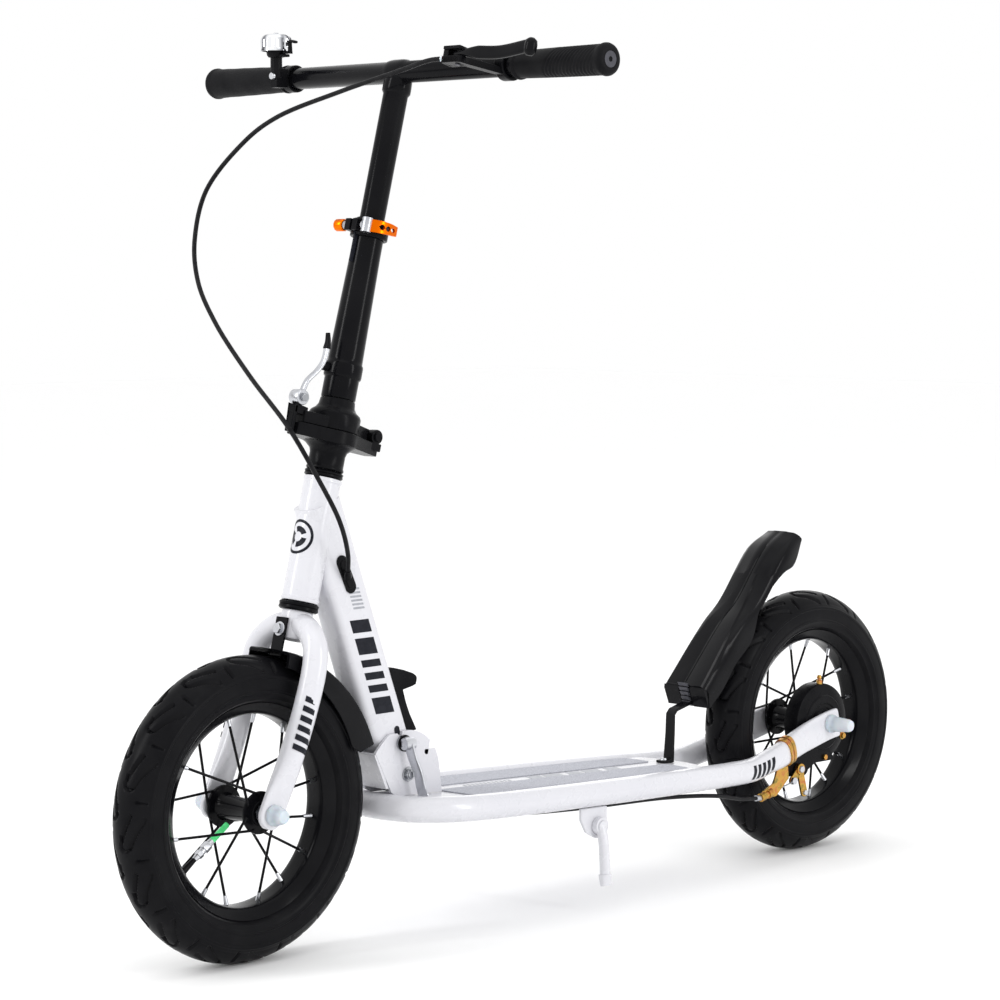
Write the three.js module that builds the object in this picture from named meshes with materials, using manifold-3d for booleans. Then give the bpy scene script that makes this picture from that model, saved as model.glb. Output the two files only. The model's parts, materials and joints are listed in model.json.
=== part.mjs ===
// Kick scooter: air-tyred wheels, folding deck hinge, folding stem, sliding handlebar, rear band brake.
// Millimetres. +X is forward, +Y is the rider's left, +Z is up.
// The origin is on the ground, midway between the two axles.
import * as THREE from 'three';
import { mergeVertices } from 'three/addons/utils/BufferGeometryUtils.js';
import Module from 'manifold-3d';

const wasm = await Module();
wasm.setup();

// ---------------------------------------------------------------- driving dimensions

const GAP = 0.3;
const WHEELBASE = 850;
const WHEEL_RADIUS = 151.5;
const TYRE_HALF_WIDTH = 27;
const WHEEL_SIDES = 32;
const RIM_INNER_RADIUS = 95;
const RIM_OUTER_RADIUS = 106;
const SPOKES_PER_WHEEL = 16;

const STEER_FOOT_X = 439.7;
const STEER_LEAN = THREE.MathUtils.degToRad(14.65);
const HEAD_TUBE_RADIUS = 18.5;
const HEAD_TUBE_BOTTOM = 361.5;
const HEAD_TUBE_TOP = 486.5;
const STEERER_RADIUS = 12.7;
const CLAMP_SPLIT = 534;
const POST_BORE = 13.1;
const POST_TOP = 752;
const POST_FOOT = 622;
const STEM_PIN = { u: -50, h: 540 };
const BAR_HEIGHT = 905.8;
const BAR_RADIUS = 11.1;
const BAR_HALF_LENGTH = 289.7;
const GRIP_INNER_END = 170;
const GRIP_OUTER_END = 291.5;

const RAIL_RADIUS = 13.5;
const RAIL_HEIGHT = 124.6;
const RAIL_SLOPE = 0.038;
const DROPOUT_INNER = 40;
const DROPOUT_OUTER = 48;
const DECK_TOP = 9.3;
const DECK_THICKNESS = 2.8;

const DOWNTUBE_HALF_WIDTH = 17;
const DOWNTUBE_WALL = 2;
const FOLD_PIVOT = { x: 222.5, z: 165 };
const FOLD_AXLE = { x: 230, z: 198 };
const HINGE_PLATE = { inner: 17.6, outer: 21.6, radius: 45 };
const DOWNTUBE_RISE = new THREE.Vector2(0.339, 0.941);

const AXLE_RADIUS = 4.8;
const AXLE_HOLE_RADIUS = 5.6;
const FRONT_WHEEL = { x: WHEELBASE / 2, z: WHEEL_RADIUS };
const REAR_WHEEL = { x: -WHEELBASE / 2, z: WHEEL_RADIUS };

// ---------------------------------------------------------------- finishes

function finish(color, roughness, metalness) {
  return new THREE.MeshStandardMaterial({ color, roughness, metalness });
}

const WHITE_PAINT = finish(0xf2f2f4, 0.25, 0.0);
const BLACK_PAINT = finish(0x17171a, 0.3, 0.1);
const BLACK_PLASTIC = finish(0x1b1b1e, 0.45, 0.0);
const TYRE_RUBBER = finish(0x141416, 0.75, 0.0);
const GRIP_RUBBER = finish(0x1d1d20, 0.7, 0.0);
const STEEL = finish(0xc9ccd0, 0.25, 1.0);
const GOLD_ZINC = finish(0xc79a3c, 0.3, 1.0);
const ORANGE_ALLOY = finish(0xe07b12, 0.3, 0.8);
const CLEAR_PLASTIC = finish(0xdfe9f0, 0.2, 0.0);
const DECK_TAPE = finish(0xa9aab0, 0.85, 0.0);

// ---------------------------------------------------------------- solids

const vec = (x, y, z) => new THREE.Vector3(x, y, z);
const UP = vec(0, 0, 1);
const SIDEWAYS = vec(0, 1, 0);

function signedVolume(positions, triangles) {
  let six = 0;
  const [a, b, c] = [vec(0, 0, 0), vec(0, 0, 0), vec(0, 0, 0)];
  for (let i = 0; i < triangles.length; i += 3) {
    a.fromArray(positions, 3 * triangles[i]);
    b.fromArray(positions, 3 * triangles[i + 1]);
    c.fromArray(positions, 3 * triangles[i + 2]);
    six += a.dot(b.cross(c));
  }
  return six / 6;
}

// Turns a closed geometry into a solid: shared corners merged, empty triangles dropped, faces outward.
function solid(geometry) {
  const bare = geometry.clone();
  bare.deleteAttribute('normal');
  bare.deleteAttribute('uv');
  const merged = mergeVertices(bare, 1e-4);
  const positions = merged.getAttribute('position').array;
  const index = merged.index.array;
  const triangles = [];
  for (let i = 0; i < index.length; i += 3) {
    const [a, b, c] = [index[i], index[i + 1], index[i + 2]];
    if (a !== b && b !== c && c !== a) triangles.push(a, b, c);
  }
  if (signedVolume(positions, triangles) < 0) triangles.reverse();
  const vertProperties = new Float32Array(positions);
  const triVerts = new Uint32Array(triangles);
  return new wasm.Manifold(new wasm.Mesh({ numProp: 3, vertProperties, triVerts }));
}

const asSolid = shape => (shape instanceof THREE.BufferGeometry ? solid(shape) : shape);
const join = (...shapes) => shapes.map(asSolid).reduce((all, next) => all.add(next));
function cut(body, ...tools) {
  return tools.map(asSolid).reduce((left, tool) => left.subtract(tool), asSolid(body));
}

function piece(name, material, shape) {
  const surface = asSolid(shape).getMesh();
  const geometry = new THREE.BufferGeometry();
  geometry.setAttribute('position', new THREE.BufferAttribute(surface.vertProperties, 3));
  geometry.setIndex(new THREE.BufferAttribute(surface.triVerts, 1));
  geometry.computeVertexNormals();
  const mesh = new THREE.Mesh(geometry, material);
  mesh.name = name;
  return mesh;
}

const mirrored = geometry => geometry.clone().scale(1, -1, 1);

function box(x0, x1, y0, y1, z0, z1) {
  const block = new THREE.BoxGeometry(x1 - x0, y1 - y0, z1 - z0);
  return block.translate((x0 + x1) / 2, (y0 + y1) / 2, (z0 + z1) / 2);
}

// Straight round bar along Y, at the given place in X and Z.
function barY(radius, x, z, y0, y1, sides = 16) {
  return new THREE.CylinderGeometry(radius, radius, y1 - y0, sides).translate(x, (y0 + y1) / 2, z);
}

// Straight round bar along X.
function barX(radius, y, z, x0, x1, sides = 12) {
  const bar = new THREE.CylinderGeometry(radius, radius, x1 - x0, sides).rotateZ(-Math.PI / 2);
  return bar.translate((x0 + x1) / 2, y, z);
}

// Straight or tapered round bar along Z.
function barZ(bottomRadius, topRadius, x, y, z0, z1, sides = 16) {
  const bar = new THREE.CylinderGeometry(topRadius, bottomRadius, z1 - z0, sides).rotateX(Math.PI / 2);
  return bar.translate(x, y, (z0 + z1) / 2);
}

// Round bar from one point to another.
function strut(from, to, radius, sides = 6) {
  const along = to.clone().sub(from);
  const bar = new THREE.CylinderGeometry(radius, radius, along.length(), sides);
  bar.applyQuaternion(new THREE.Quaternion().setFromUnitVectors(SIDEWAYS, along.clone().normalize()));
  return bar.translate(...from.clone().add(to).multiplyScalar(0.5).toArray());
}

// Ring or cup turned about Y from [radius, y] corners; the profile closes on itself or on the axis.
function turned(corners, sides, x = 0, z = 0) {
  const onAxis = corners[0][0] === 0;
  const closed = onAxis ? corners : [...corners, corners[0]];
  const profile = closed.map(([radius, y]) => new THREE.Vector2(radius, y));
  return new THREE.LatheGeometry(profile, sides).translate(x, 0, z);
}

// The same, standing upright: [radius, z] corners turned about Z.
function turnedUpright(corners, sides) {
  return turned(corners, sides).rotateX(Math.PI / 2);
}

const outline = corners => new THREE.Shape(corners.map(([x, y]) => new THREE.Vector2(x, y)));

// Flat plate: an outline in X and Z with a thickness along Y.
function plateXZ(shape, y0, y1, curveSegments = 12) {
  const plate = new THREE.ExtrudeGeometry(shape, { depth: y1 - y0, bevelEnabled: false, curveSegments });
  return plate.rotateX(Math.PI / 2).translate(0, y1, 0);
}

// Flat plate: an outline in X and Y with a thickness along Z.
function plateXY(shape, z0, z1, curveSegments = 12) {
  const plate = new THREE.ExtrudeGeometry(shape, { depth: z1 - z0, bevelEnabled: false, curveSegments });
  return plate.translate(0, 0, z0);
}

// Band between two radii about the origin, from one angle to another in degrees.
function arcBand(inner, outer, fromDegrees, toDegrees) {
  const [from, to] = [fromDegrees, toDegrees].map(THREE.MathUtils.degToRad);
  const band = new THREE.Shape();
  band.absarc(0, 0, outer, from, to, false);
  band.absarc(0, 0, inner, to, from, true);
  return band;
}

// Flat bar outline with round ends, from one [x, z] place to another.
function roundEnded(from, to, half) {
  const heading = Math.atan2(to[1] - from[1], to[0] - from[0]);
  const shape = new THREE.Shape();
  shape.absarc(...to, half, heading - Math.PI / 2, heading + Math.PI / 2, false);
  shape.absarc(...from, half, heading + Math.PI / 2, heading + 1.5 * Math.PI, false);
  return shape;
}

// Bar bent along a curve. section(point) gives [half width, half height, squareness 0 to 1], the width
// lying square to the side direction and to the curve.
function bentBar(curve, { steps, sides, section, side = UP, from = 0, to = 1 }) {
  const bar = new THREE.CylinderGeometry(1, 1, 1, sides, steps);
  const places = bar.getAttribute('position');
  for (let i = 0; i < places.count; i += 1) {
    const t = from + (to - from) * (0.5 - places.getY(i));
    const point = curve.getPoint(t);
    const tangent = curve.getTangent(t);
    const across = tangent.clone().cross(side).normalize();
    const high = tangent.clone().cross(across);
    const [halfWidth, halfHeight, squareness] = section(point);
    const power = 1 - 0.6 * squareness;
    const rounded = value => Math.sign(value) * Math.abs(value) ** power;
    point.addScaledVector(across, halfWidth * rounded(places.getX(i)));
    point.addScaledVector(high, halfHeight * rounded(places.getZ(i)));
    places.setXYZ(i, point.x, point.y, point.z);
  }
  return bar;
}

const route = points => new THREE.CatmullRomCurve3(points.map(([x, y, z]) => vec(x, y, z)));
const roundSection = radius => () => [radius, radius, 0];

// ---------------------------------------------------------------- deck frame

const railHeightAt = x => RAIL_HEIGHT + RAIL_SLOPE * x;

// Centreline of the left rail: round the front loop, back along the deck, up the stay to the dropout.
const railRoute = route([
  ...[[250, -20], [252, 0], [250, 20], [241, 43], [222, 60], [195, 71], [160, 76], [80, 77], [0, 75],
    [-60, 73.5], [-120, 70], [-180, 65.5]].map(([x, y]) => [x, y, railHeightAt(x)]),
  [-230, 60, 115.5], [-280, 54.5, 115], [-306, 52, 119.6], [-333, 50, 125], [-350, 48, 130],
  [-381, 45.3, 138.5], [-425, 44, 148.5], [-441, 44, 151],
]);

// The rail is round until the stay, where it is pressed flat and tall for the dropout.
const STAY_START_X = -306;
const STAY_END_X = -398;
function railSection(extra = 0) {
  return point => {
    const pressed = THREE.MathUtils.clamp((STAY_START_X - point.x) / (STAY_START_X - STAY_END_X), 0, 1);
    const halfThickness = THREE.MathUtils.lerp(RAIL_RADIUS, (DROPOUT_OUTER - DROPOUT_INNER) / 2, pressed);
    const halfHeight = THREE.MathUtils.lerp(RAIL_RADIUS, 16.7, pressed);
    return [halfThickness + extra, halfHeight + extra, pressed];
  };
}

function deckRail(name, side) {
  const tube = bentBar(railRoute, { steps: 34, sides: 8, section: railSection() });
  const beyondMiddle = box(200, 300, -80, GAP / 2, 90, 180);
  const axleHole = barY(AXLE_HOLE_RADIUS, REAR_WHEEL.x, REAR_WHEEL.z, 30, 60, 8);
  const tools = [beyondMiddle, axleHole];
  const shapes = [tube, ...tools].map(shape => (side > 0 ? shape : mirrored(shape)));
  return piece(name, WHITE_PAINT, cut(...shapes));
}

// Deck sheets are drawn level and laid on the slope of the rails.
const onDeck = geometry => geometry.rotateY(-Math.atan(RAIL_SLOPE)).translate(0, 0, RAIL_HEIGHT);

function deckPlate() {
  const weldOffset = 12.2;
  const rearEdge = -203;
  const rearBulge = -216;
  const edge = [];
  for (let i = 0; i <= 18; i += 1) {
    const t = 1 / 19 + (i / 18) * (10.45 / 19);
    const point = railRoute.getPoint(t);
    const tangent = railRoute.getTangent(t);
    const inward = new THREE.Vector2(tangent.y, -tangent.x).normalize().multiplyScalar(-weldOffset);
    const x = point.x + inward.x;
    if (x > rearEdge) edge.push([x, point.y + inward.y]);
  }
  const left = edge.filter(([, y]) => y > 1);
  const right = left.map(([x, y]) => [x, -y]).reverse();
  const corners = [...left, [rearEdge, 52], [rearBulge, 18], [rearBulge, -18], [rearEdge, -52], ...right];
  const sheet = plateXY(outline(corners), DECK_TOP - DECK_THICKNESS, DECK_TOP);
  return piece('deck_plate', WHITE_PAINT, onDeck(sheet));
}

function deckGrip(name, side) {
  const corners = [[-180, 12], [-178, 49], [-120, 54.5], [165, 59.5], [171, 12]];
  const strip = outline(corners.map(([x, y]) => [x, y * side]));
  return piece(name, DECK_TAPE, onDeck(plateXY(strip, DECK_TOP + GAP, DECK_TOP + GAP + 1)));
}

// ---------------------------------------------------------------- deck hinge

// Places given from the fold pivot, as [forward, up].
const fromPivot = ([x, z]) => [FOLD_PIVOT.x + x, FOLD_PIVOT.z + z];

const axleOffset = new THREE.Vector2(FOLD_AXLE.x - FOLD_PIVOT.x, FOLD_AXLE.z - FOLD_PIVOT.z);
const AXLE_ORBIT = axleOffset.length();
const REST_ANGLE = THREE.MathUtils.radToDeg(axleOffset.angle());
const FOLD_ANGLE = 65;

function hingeCheek(side) {
  const corners = [[-48.6, -23.6], [14, -21.3], [22, -17], [44, 25.5], [36, 34], [24.5, 43]];
  const cheek = new THREE.Shape();
  cheek.moveTo(...corners[0]);
  corners.slice(1).forEach(corner => cheek.lineTo(...corner));
  const [arcStart, arcEnd] = [80, 170].map(THREE.MathUtils.degToRad);
  cheek.absarc(0, 0, HINGE_PLATE.radius, arcStart, arcEnd, false);
  cheek.closePath();
  const plate = plateXZ(cheek, HINGE_PLATE.inner, HINGE_PLATE.outer, 7);
  plate.translate(FOLD_PIVOT.x, side > 0 ? 0 : -HINGE_PLATE.inner - HINGE_PLATE.outer, FOLD_PIVOT.z);
  return plate;
}

// A U of sheet: two cheeks round the foot of the downtube and a web in front of it. The axle rides in
// a curved slot between its locked and folded places, and lifts out of a notch at the locked end.
function hingeBracket() {
  const web = plateXZ(outline([[25.5, -12], [29, -12.5], [45, 24], [41.5, 25.5]].map(fromPivot)), -18, 18);
  const slotHalf = 3.4;
  const foldedAngle = REST_ANGLE + FOLD_ANGLE;
  const slot = arcBand(AXLE_ORBIT - slotHalf, AXLE_ORBIT + slotHalf, REST_ANGLE, foldedAngle);
  const slotCut = plateXZ(slot, -30, 30, 8).translate(FOLD_PIVOT.x, 0, FOLD_PIVOT.z);
  const ends = [REST_ANGLE, foldedAngle].map(angle => {
    const turn = THREE.MathUtils.degToRad(angle);
    const x = FOLD_PIVOT.x + AXLE_ORBIT * Math.cos(turn);
    return barY(slotHalf, x, FOLD_PIVOT.z + AXLE_ORBIT * Math.sin(turn), -30, 30, 8);
  });
  const notch = box(-slotHalf, slotHalf, -30, 30, AXLE_ORBIT, 60);
  notch.rotateY(THREE.MathUtils.degToRad(90 - REST_ANGLE)).translate(FOLD_PIVOT.x, 0, FOLD_PIVOT.z);
  const pivotHole = barY(AXLE_RADIUS + 2 * GAP, FOLD_PIVOT.x, FOLD_PIVOT.z, -30, 30, 10);
  const bracket = join(hingeCheek(1), hingeCheek(-1), web);
  return piece('hinge_bracket', WHITE_PAINT, cut(bracket, slotCut, ...ends, notch, pivotHole));
}

function hingePivotBolt() {
  const { x, z } = FOLD_PIVOT;
  const head = barY(7.5, x, z, HINGE_PLATE.outer + GAP, HINGE_PLATE.outer + 5, 6);
  const nut = mirrored(head);
  return piece('hinge_pivot_bolt', STEEL, join(barY(AXLE_RADIUS, x, z, -26, 26, 10), head, nut));
}

// ---------------------------------------------------------------- downtube

// Outline of the downtube seen from the left, shrunk by a margin. Corners are [along, forward] from the
// fold pivot, along the rise of the tube and square to it.
function downtubeSide(margin) {
  const [front, rear] = [29 - margin, -22 + margin];
  const foot = 20.5 - margin;
  const corners = [
    [312 - margin, rear + 3], [20, rear], [-0.1 * foot, -foot], [-0.7 * foot, -0.7 * foot], [-foot, 0],
    [-0.7 * foot, 0.7 * foot], [0, foot], [34, 21 - margin], [62, front], [226 - margin, front],
    [262 - margin, 22 - margin],
  ];
  const [rx, rz] = DOWNTUBE_RISE.toArray();
  const placed = corners.map(([along, forward]) => [rx * along + rz * forward, rz * along - rx * forward]);
  return outline(placed.map(fromPivot));
}

// Makes a shape that is drawn upright on the steering axis stand on the real, leaning axis.
const onSteering = geometry => geometry.rotateY(-STEER_LEAN).translate(STEER_FOOT_X, 0, 0);

const RELEASE_DIRECTION = new THREE.Vector2(0.21, 0.978);
const RELEASE_TRAVEL = 12;
const CABLE_PORT = { top: [308, 388], bottom: [296, 362], half: 5.5 };

function frontFrame() {
  const half = DOWNTUBE_HALF_WIDTH;
  const tube = plateXZ(downtubeSide(0), -half, half);
  const hollow = plateXZ(downtubeSide(DOWNTUBE_WALL), -half + DOWNTUBE_WALL, half - DOWNTUBE_WALL);
  const radius = HEAD_TUBE_RADIUS;
  const headTube = onSteering(barZ(radius, radius, 0, 0, HEAD_TUBE_BOTTOM, HEAD_TUBE_TOP, 16));
  const headBore = onSteering(barZ(14, 14, 0, 0, HEAD_TUBE_BOTTOM - 60, HEAD_TUBE_TOP + 60, 12));
  const slotTop = RELEASE_DIRECTION.clone().multiplyScalar(RELEASE_TRAVEL + 2);
  const slotEnd = [FOLD_AXLE.x + slotTop.x, FOLD_AXLE.z + slotTop.y];
  const slot = plateXZ(roundEnded([FOLD_AXLE.x, FOLD_AXLE.z], slotEnd, 3.5), -30, 30, 4);
  const pivotHole = barY(AXLE_RADIUS + GAP, FOLD_PIVOT.x, FOLD_PIVOT.z, -30, 30, 10);
  const pullWindow = box(195, 225, -4, 4, 186, 246);
  const { top, bottom, half: portHalf } = CABLE_PORT;
  const cablePort = plateXZ(roundEnded(bottom, top, portHalf), 12, 22, 4);
  const shell = cut(join(cut(tube, hollow), headTube), headBore);
  return piece('front_frame', WHITE_PAINT, cut(shell, slot, pivotHole, pullWindow, cablePort));
}

function cableGrommet() {
  const { top, bottom, half } = CABLE_PORT;
  const wallFace = DOWNTUBE_HALF_WIDTH;
  const neck = plateXZ(roundEnded(bottom, top, half - GAP), 14, wallFace + 1, 4);
  const lip = plateXZ(roundEnded(bottom, top, half + 1), wallFace + GAP, wallFace + 2.3, 4);
  return piece('cable_grommet', BLACK_PLASTIC, join(neck, lip));
}

function headsetRing(name, from, to, radius) {
  const inner = STEERER_RADIUS + GAP;
  const ring = turnedUpright([[inner, from], [radius - 1, from], [radius, (from + to) / 2], [radius - 1, to],
    [inner, to]], 16);
  return piece(name, BLACK_PLASTIC, ring);
}

// Pull strap behind the downtube with a finger hood at its top and a ring round the axle inside.
function foldRelease() {
  const strapSide = outline([[211.3, 204], [235.4, 271], [226, 273], [197, 264.5], [194.5, 261],
    [195, 253], [200, 251.5], [213, 249], [204, 224], [194, 206]]);
  const strap = plateXZ(strapSide, -9, 9);
  const linkSide = outline([[204, 216], [212, 228], [229, 205], [236, 198], [230, 191.5], [223, 197]]);
  const link = plateXZ(linkSide, -3, 3);
  const ringHole = barY(3 + GAP, FOLD_AXLE.x, FOLD_AXLE.z, -30, 30, 10);
  return piece('fold_release', BLACK_PLASTIC, cut(join(strap, link), ringHole));
}

function foldAxle() {
  const { x, z } = FOLD_AXLE;
  const washer = HINGE_PLATE.outer + GAP;
  const rod = barY(3, x, z, -28, 24.6, 10);
  const disc = barY(8.2, x, z, washer, 24.6, 14);
  const nut = barY(7, x, z, -27, -washer, 6);
  return piece('fold_axle', STEEL, join(rod, disc, nut));
}

// Cam barrel on the end of the axle, with a flat lever hanging down beside the hinge.
function foldCamLever() {
  const { x, z } = FOLD_AXLE;
  const hang = route([[x, 31, z], [x - 7, 32, z - 20], [x - 11, 36, z - 36], [x - 13, 36.5, z - 50]]);
  const blade = bentBar(hang, { steps: 6, sides: 8, section: () => [1.4, 5, 0.8], side: vec(1, 0, 0) });
  return piece('fold_cam_lever', STEEL, join(barX(6, 31, z, x - 6, x + 6, 12), blade));
}

// ---------------------------------------------------------------- fork and lower stem

function fork() {
  const steerer = barZ(STEERER_RADIUS, STEERER_RADIUS, 0, 0, 330, CLAMP_SPLIT - 2, 12);
  const crown = barZ(15.5, 15.5, 0, 0, 322, 351.5, 12);
  const legRoute = route([[0, 4, 340], [3, 24, 334], [5, 41, 318], [5.5, 46, 295], [8, 46, 250],
    [14, 45.5, 205], [20, 44.5, 172], [24, 44, 150], [26, 44, 136]]);
  const section = point => {
    const pressed = THREE.MathUtils.clamp((207 - point.z) / 40, 0, 1);
    return [THREE.MathUtils.lerp(12.5, 14.5, pressed), THREE.MathUtils.lerp(12.2, 4, pressed), pressed];
  };
  const leg = bentBar(legRoute, { steps: 14, sides: 8, section, side: SIDEWAYS });
  const axleHole = barY(AXLE_HOLE_RADIUS, 24.1, 150.3, -60, 60, 8);
  return piece('fork', WHITE_PAINT, cut(join(steerer, crown, leg, mirrored(leg)), axleHole));
}

// Lower half of the folding stem: a sleeve on the steerer, a flange, and two lugs for the pin.
function stemClampLower() {
  const { u, h } = STEM_PIN;
  const top = CLAMP_SPLIT - 0.2;
  const sleeve = turnedUpright([[0, 494.6], [19, 494.6], [18, 498], [18, 519], [27, 520], [27, top],
    [0, top]], 16);
  const bore = barZ(STEERER_RADIUS + 0.8, STEERER_RADIUS + 0.8, 0, 0, 480, 560, 12);
  const flange = box(u - 7, 51, -13, 13, 521, top);
  const lug = join(barY(7.5, u, h, 4.2, 13, 10), box(u - 7.5, u + 7.5, 4.2, 13, 528, h));
  const lugs = join(lug, barY(7.5, u, h, -13, -4.2, 10), box(u - 7.5, u + 7.5, -13, -4.2, 528, h));
  const knuckleRoom = box(u - 20, u + 9, -4.2, 4.2, 500, 560);
  const pinHole = barY(3.2, u, h, -30, 30, 10);
  const body = join(sleeve, flange, lugs);
  return piece('stem_clamp_lower', BLACK_PLASTIC, cut(body, knuckleRoom, bore, pinHole));
}

function stemHingePin() {
  const { u, h } = STEM_PIN;
  const parts = [barY(2.9, u, h, -16, 16, 10), barY(5, u, h, 13.3, 16, 10), barY(5, u, h, -16, -13.3, 10)];
  return piece('stem_hinge_pin', STEEL, join(...parts));
}

// Blade behind the fork with side skirts that deepen toward its tail, and a bolted tab up to the crown.
const MUDGUARD = { inner: 155.5, outer: 158.5, from: 103, to: 158.5, halfWidth: 31, skirt: 26 };
function frontMudguard() {
  const { inner, outer, from, to, halfWidth, skirt } = MUDGUARD;
  const place = shape => shape.translate(FRONT_WHEEL.x, 0, FRONT_WHEEL.z);
  const block = place(plateXZ(arcBand(inner - skirt, outer, from, to), -halfWidth, halfWidth, 10));
  const taper = barY(135.6, FRONT_WHEEL.x + 10.9, FRONT_WHEEL.z + 10.9, -halfWidth - 5, halfWidth + 5, 48);
  const roomHalf = halfWidth - 2.5;
  const room = place(plateXZ(arcBand(inner - skirt - 5, inner, from - 5, to + 5), -roomHalf, roomHalf, 12));
  const tab = onSteering(box(16.5, 19.5, -8, 8, 304, 343));
  const bolt = onSteering(barX(5.5, 0, 331, 19, 25, 6));
  return piece('front_mudguard', BLACK_PLASTIC, join(cut(block, room, taper), tab, bolt));
}

// ---------------------------------------------------------------- wheels

function tyre(name, wheel) {
  const tread = [[100, 9.6], [106.4, 16.6], [116, TYRE_HALF_WIDTH - 0.5], [134, TYRE_HALF_WIDTH - 1],
    [147, 16], [WHEEL_RADIUS, 6]];
  const lining = [[144, 8], [122, 21], [100, 5.5]];
  const back = list => list.map(([radius, y]) => [radius, -y]).reverse();
  const section = [...tread, ...back(tread), ...back(lining), ...lining];
  return piece(name, TYRE_RUBBER, turned(section, WHEEL_SIDES, wheel.x, wheel.z));
}

function rim(name, wheel) {
  const [inner, outer] = [RIM_INNER_RADIUS, RIM_OUTER_RADIUS];
  const section = [[inner, -12], [inner, 12], [outer, 20], [outer, 17], [inner + 3.5, 9], [inner + 3.5, -9],
    [outer, -17], [outer, -20]];
  return piece(name, BLACK_PAINT, turned(section, WHEEL_SIDES, wheel.x, wheel.z));
}

// Hub shell with its spokes, laced alternately from the two flanges and crossing one another.
function hub(name, wheel, { ends, flanges }) {
  const [right, left] = ends;
  const [rightFlange, leftFlange] = flanges;
  const shell = turned([[9.5, right], [13, right], [21, rightFlange - 1.5], [21, rightFlange + 1.5],
    [12, rightFlange + 3], [12, leftFlange - 3], [21, leftFlange - 1.5], [21, leftFlange + 1.5],
    [12.8, leftFlange + 2], [12.8, left], [9.5, left]], 16);
  const spokes = [];
  for (let i = 0; i < SPOKES_PER_WHEEL; i += 1) {
    const rimAngle = ((i + 0.5) / SPOKES_PER_WHEEL) * 2 * Math.PI;
    const lead = THREE.MathUtils.degToRad(i % 4 < 2 ? 50 : -50);
    const flange = i % 2 ? leftFlange : rightFlange;
    const foot = vec(18.5 * Math.cos(rimAngle + lead), flange, 18.5 * Math.sin(rimAngle + lead));
    const reach = RIM_INNER_RADIUS - 1.2;
    const tip = vec(reach * Math.cos(rimAngle), Math.sign(flange) * 2, reach * Math.sin(rimAngle));
    spokes.push(strut(foot, tip, 1.4, 4));
  }
  const laced = join(shell, ...spokes).translate([wheel.x, 0, wheel.z]);
  return piece(name, BLACK_PAINT, laced);
}

function bearing(name, wheel, y0) {
  const section = [[AXLE_RADIUS + GAP, y0], [9.2, y0], [9.2, y0 + 6], [AXLE_RADIUS + GAP, y0 + 6]];
  return piece(name, STEEL, turned(section, 10, wheel.x, wheel.z));
}

function axle(name, wheel) {
  const { x, z } = wheel;
  const [nutInner, nutOuter] = [DROPOUT_OUTER + GAP, DROPOUT_OUTER + 8];
  const parts = [barY(AXLE_RADIUS, x, z, -58, 58, 10), barY(7.5, x, z, nutInner, nutOuter, 6)];
  return piece(name, STEEL, join(...parts, barY(7.5, x, z, -nutOuter, -nutInner, 6)));
}

// Soft push-on cap that hides an axle nut.
function axleCap(name, wheel, side, length) {
  const base = DROPOUT_OUTER + 2 * GAP;
  const tip = base + length;
  const cap = turned([[0, tip], [5, tip], [8, tip - 4], [10.4, base + 5], [10.4, base], [7.9, base],
    [7.9, base + 11], [0, base + 11]], 12, wheel.x, wheel.z);
  return piece(name, CLEAR_PLASTIC, side > 0 ? cap : mirrored(cap));
}

function brakeDrum() {
  const section = [[13.4, 10.6], [36, 10.6], [36, 33], [33, 33], [33, 14], [13.4, 14]];
  return piece('rear_brake_drum', BLACK_PAINT, turned(section, 16, REAR_WHEEL.x, REAR_WHEEL.z));
}

// ---------------------------------------------------------------- rear brake on the left stay

function brakeBand() {
  const band = plateXZ(arcBand(37.2, 39.2, -45, 255), 17, 31, 12);
  return piece('brake_band', STEEL, band.translate(REAR_WHEEL.x, 0, REAR_WHEEL.z));
}

const COVER_FACE = { inner: 36.3, outer: 39.3 };
function brakeCover() {
  const { inner, outer } = COVER_FACE;
  const dish = turned([[AXLE_RADIUS + GAP, outer], [45, outer], [45, 16], [42.6, 16], [42.6, inner],
    [AXLE_RADIUS + GAP, inner]], 16, REAR_WHEEL.x, REAR_WHEEL.z);
  const arm = plateXZ(outline([[-356, 130], [-356, 95], [-390, 94], [-410, 106], [-445, 106], [-425, 140],
    [-392, 155]]), inner - 0.5, outer - 1);
  const hole = barY(AXLE_RADIUS + GAP, REAR_WHEEL.x, REAR_WHEEL.z, 30, 45, 16);
  return piece('brake_cover', BLACK_PLASTIC, cut(join(dish, arm), hole));
}

// Strap clamped round the stay.
function brakeStayClamp() {
  const [from, to] = [15.3 / 19, 16.05 / 19];
  const outer = bentBar(railRoute, { steps: 2, sides: 8, section: railSection(2.6), from, to });
  const inner = bentBar(railRoute, { steps: 34, sides: 8, section: railSection(0.5) });
  return piece('brake_stay_clamp', GOLD_ZINC, cut(outer, inner));
}

const ANCHOR_BOSS = { front: vec(-303, 46, 79), rear: vec(-322, 46, 83) };
function brakeCableAnchor() {
  const bracket = plateXZ(outline([[-350, 107], [-352, 96], [-330, 78], [-308, 76], [-308, 86], [-326, 93],
    [-332, 107]]), 44.5, 47.5);
  const boss = strut(ANCHOR_BOSS.rear, ANCHOR_BOSS.front, 5, 12);
  return piece('brake_cable_anchor', GOLD_ZINC, join(bracket, boss));
}

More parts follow.
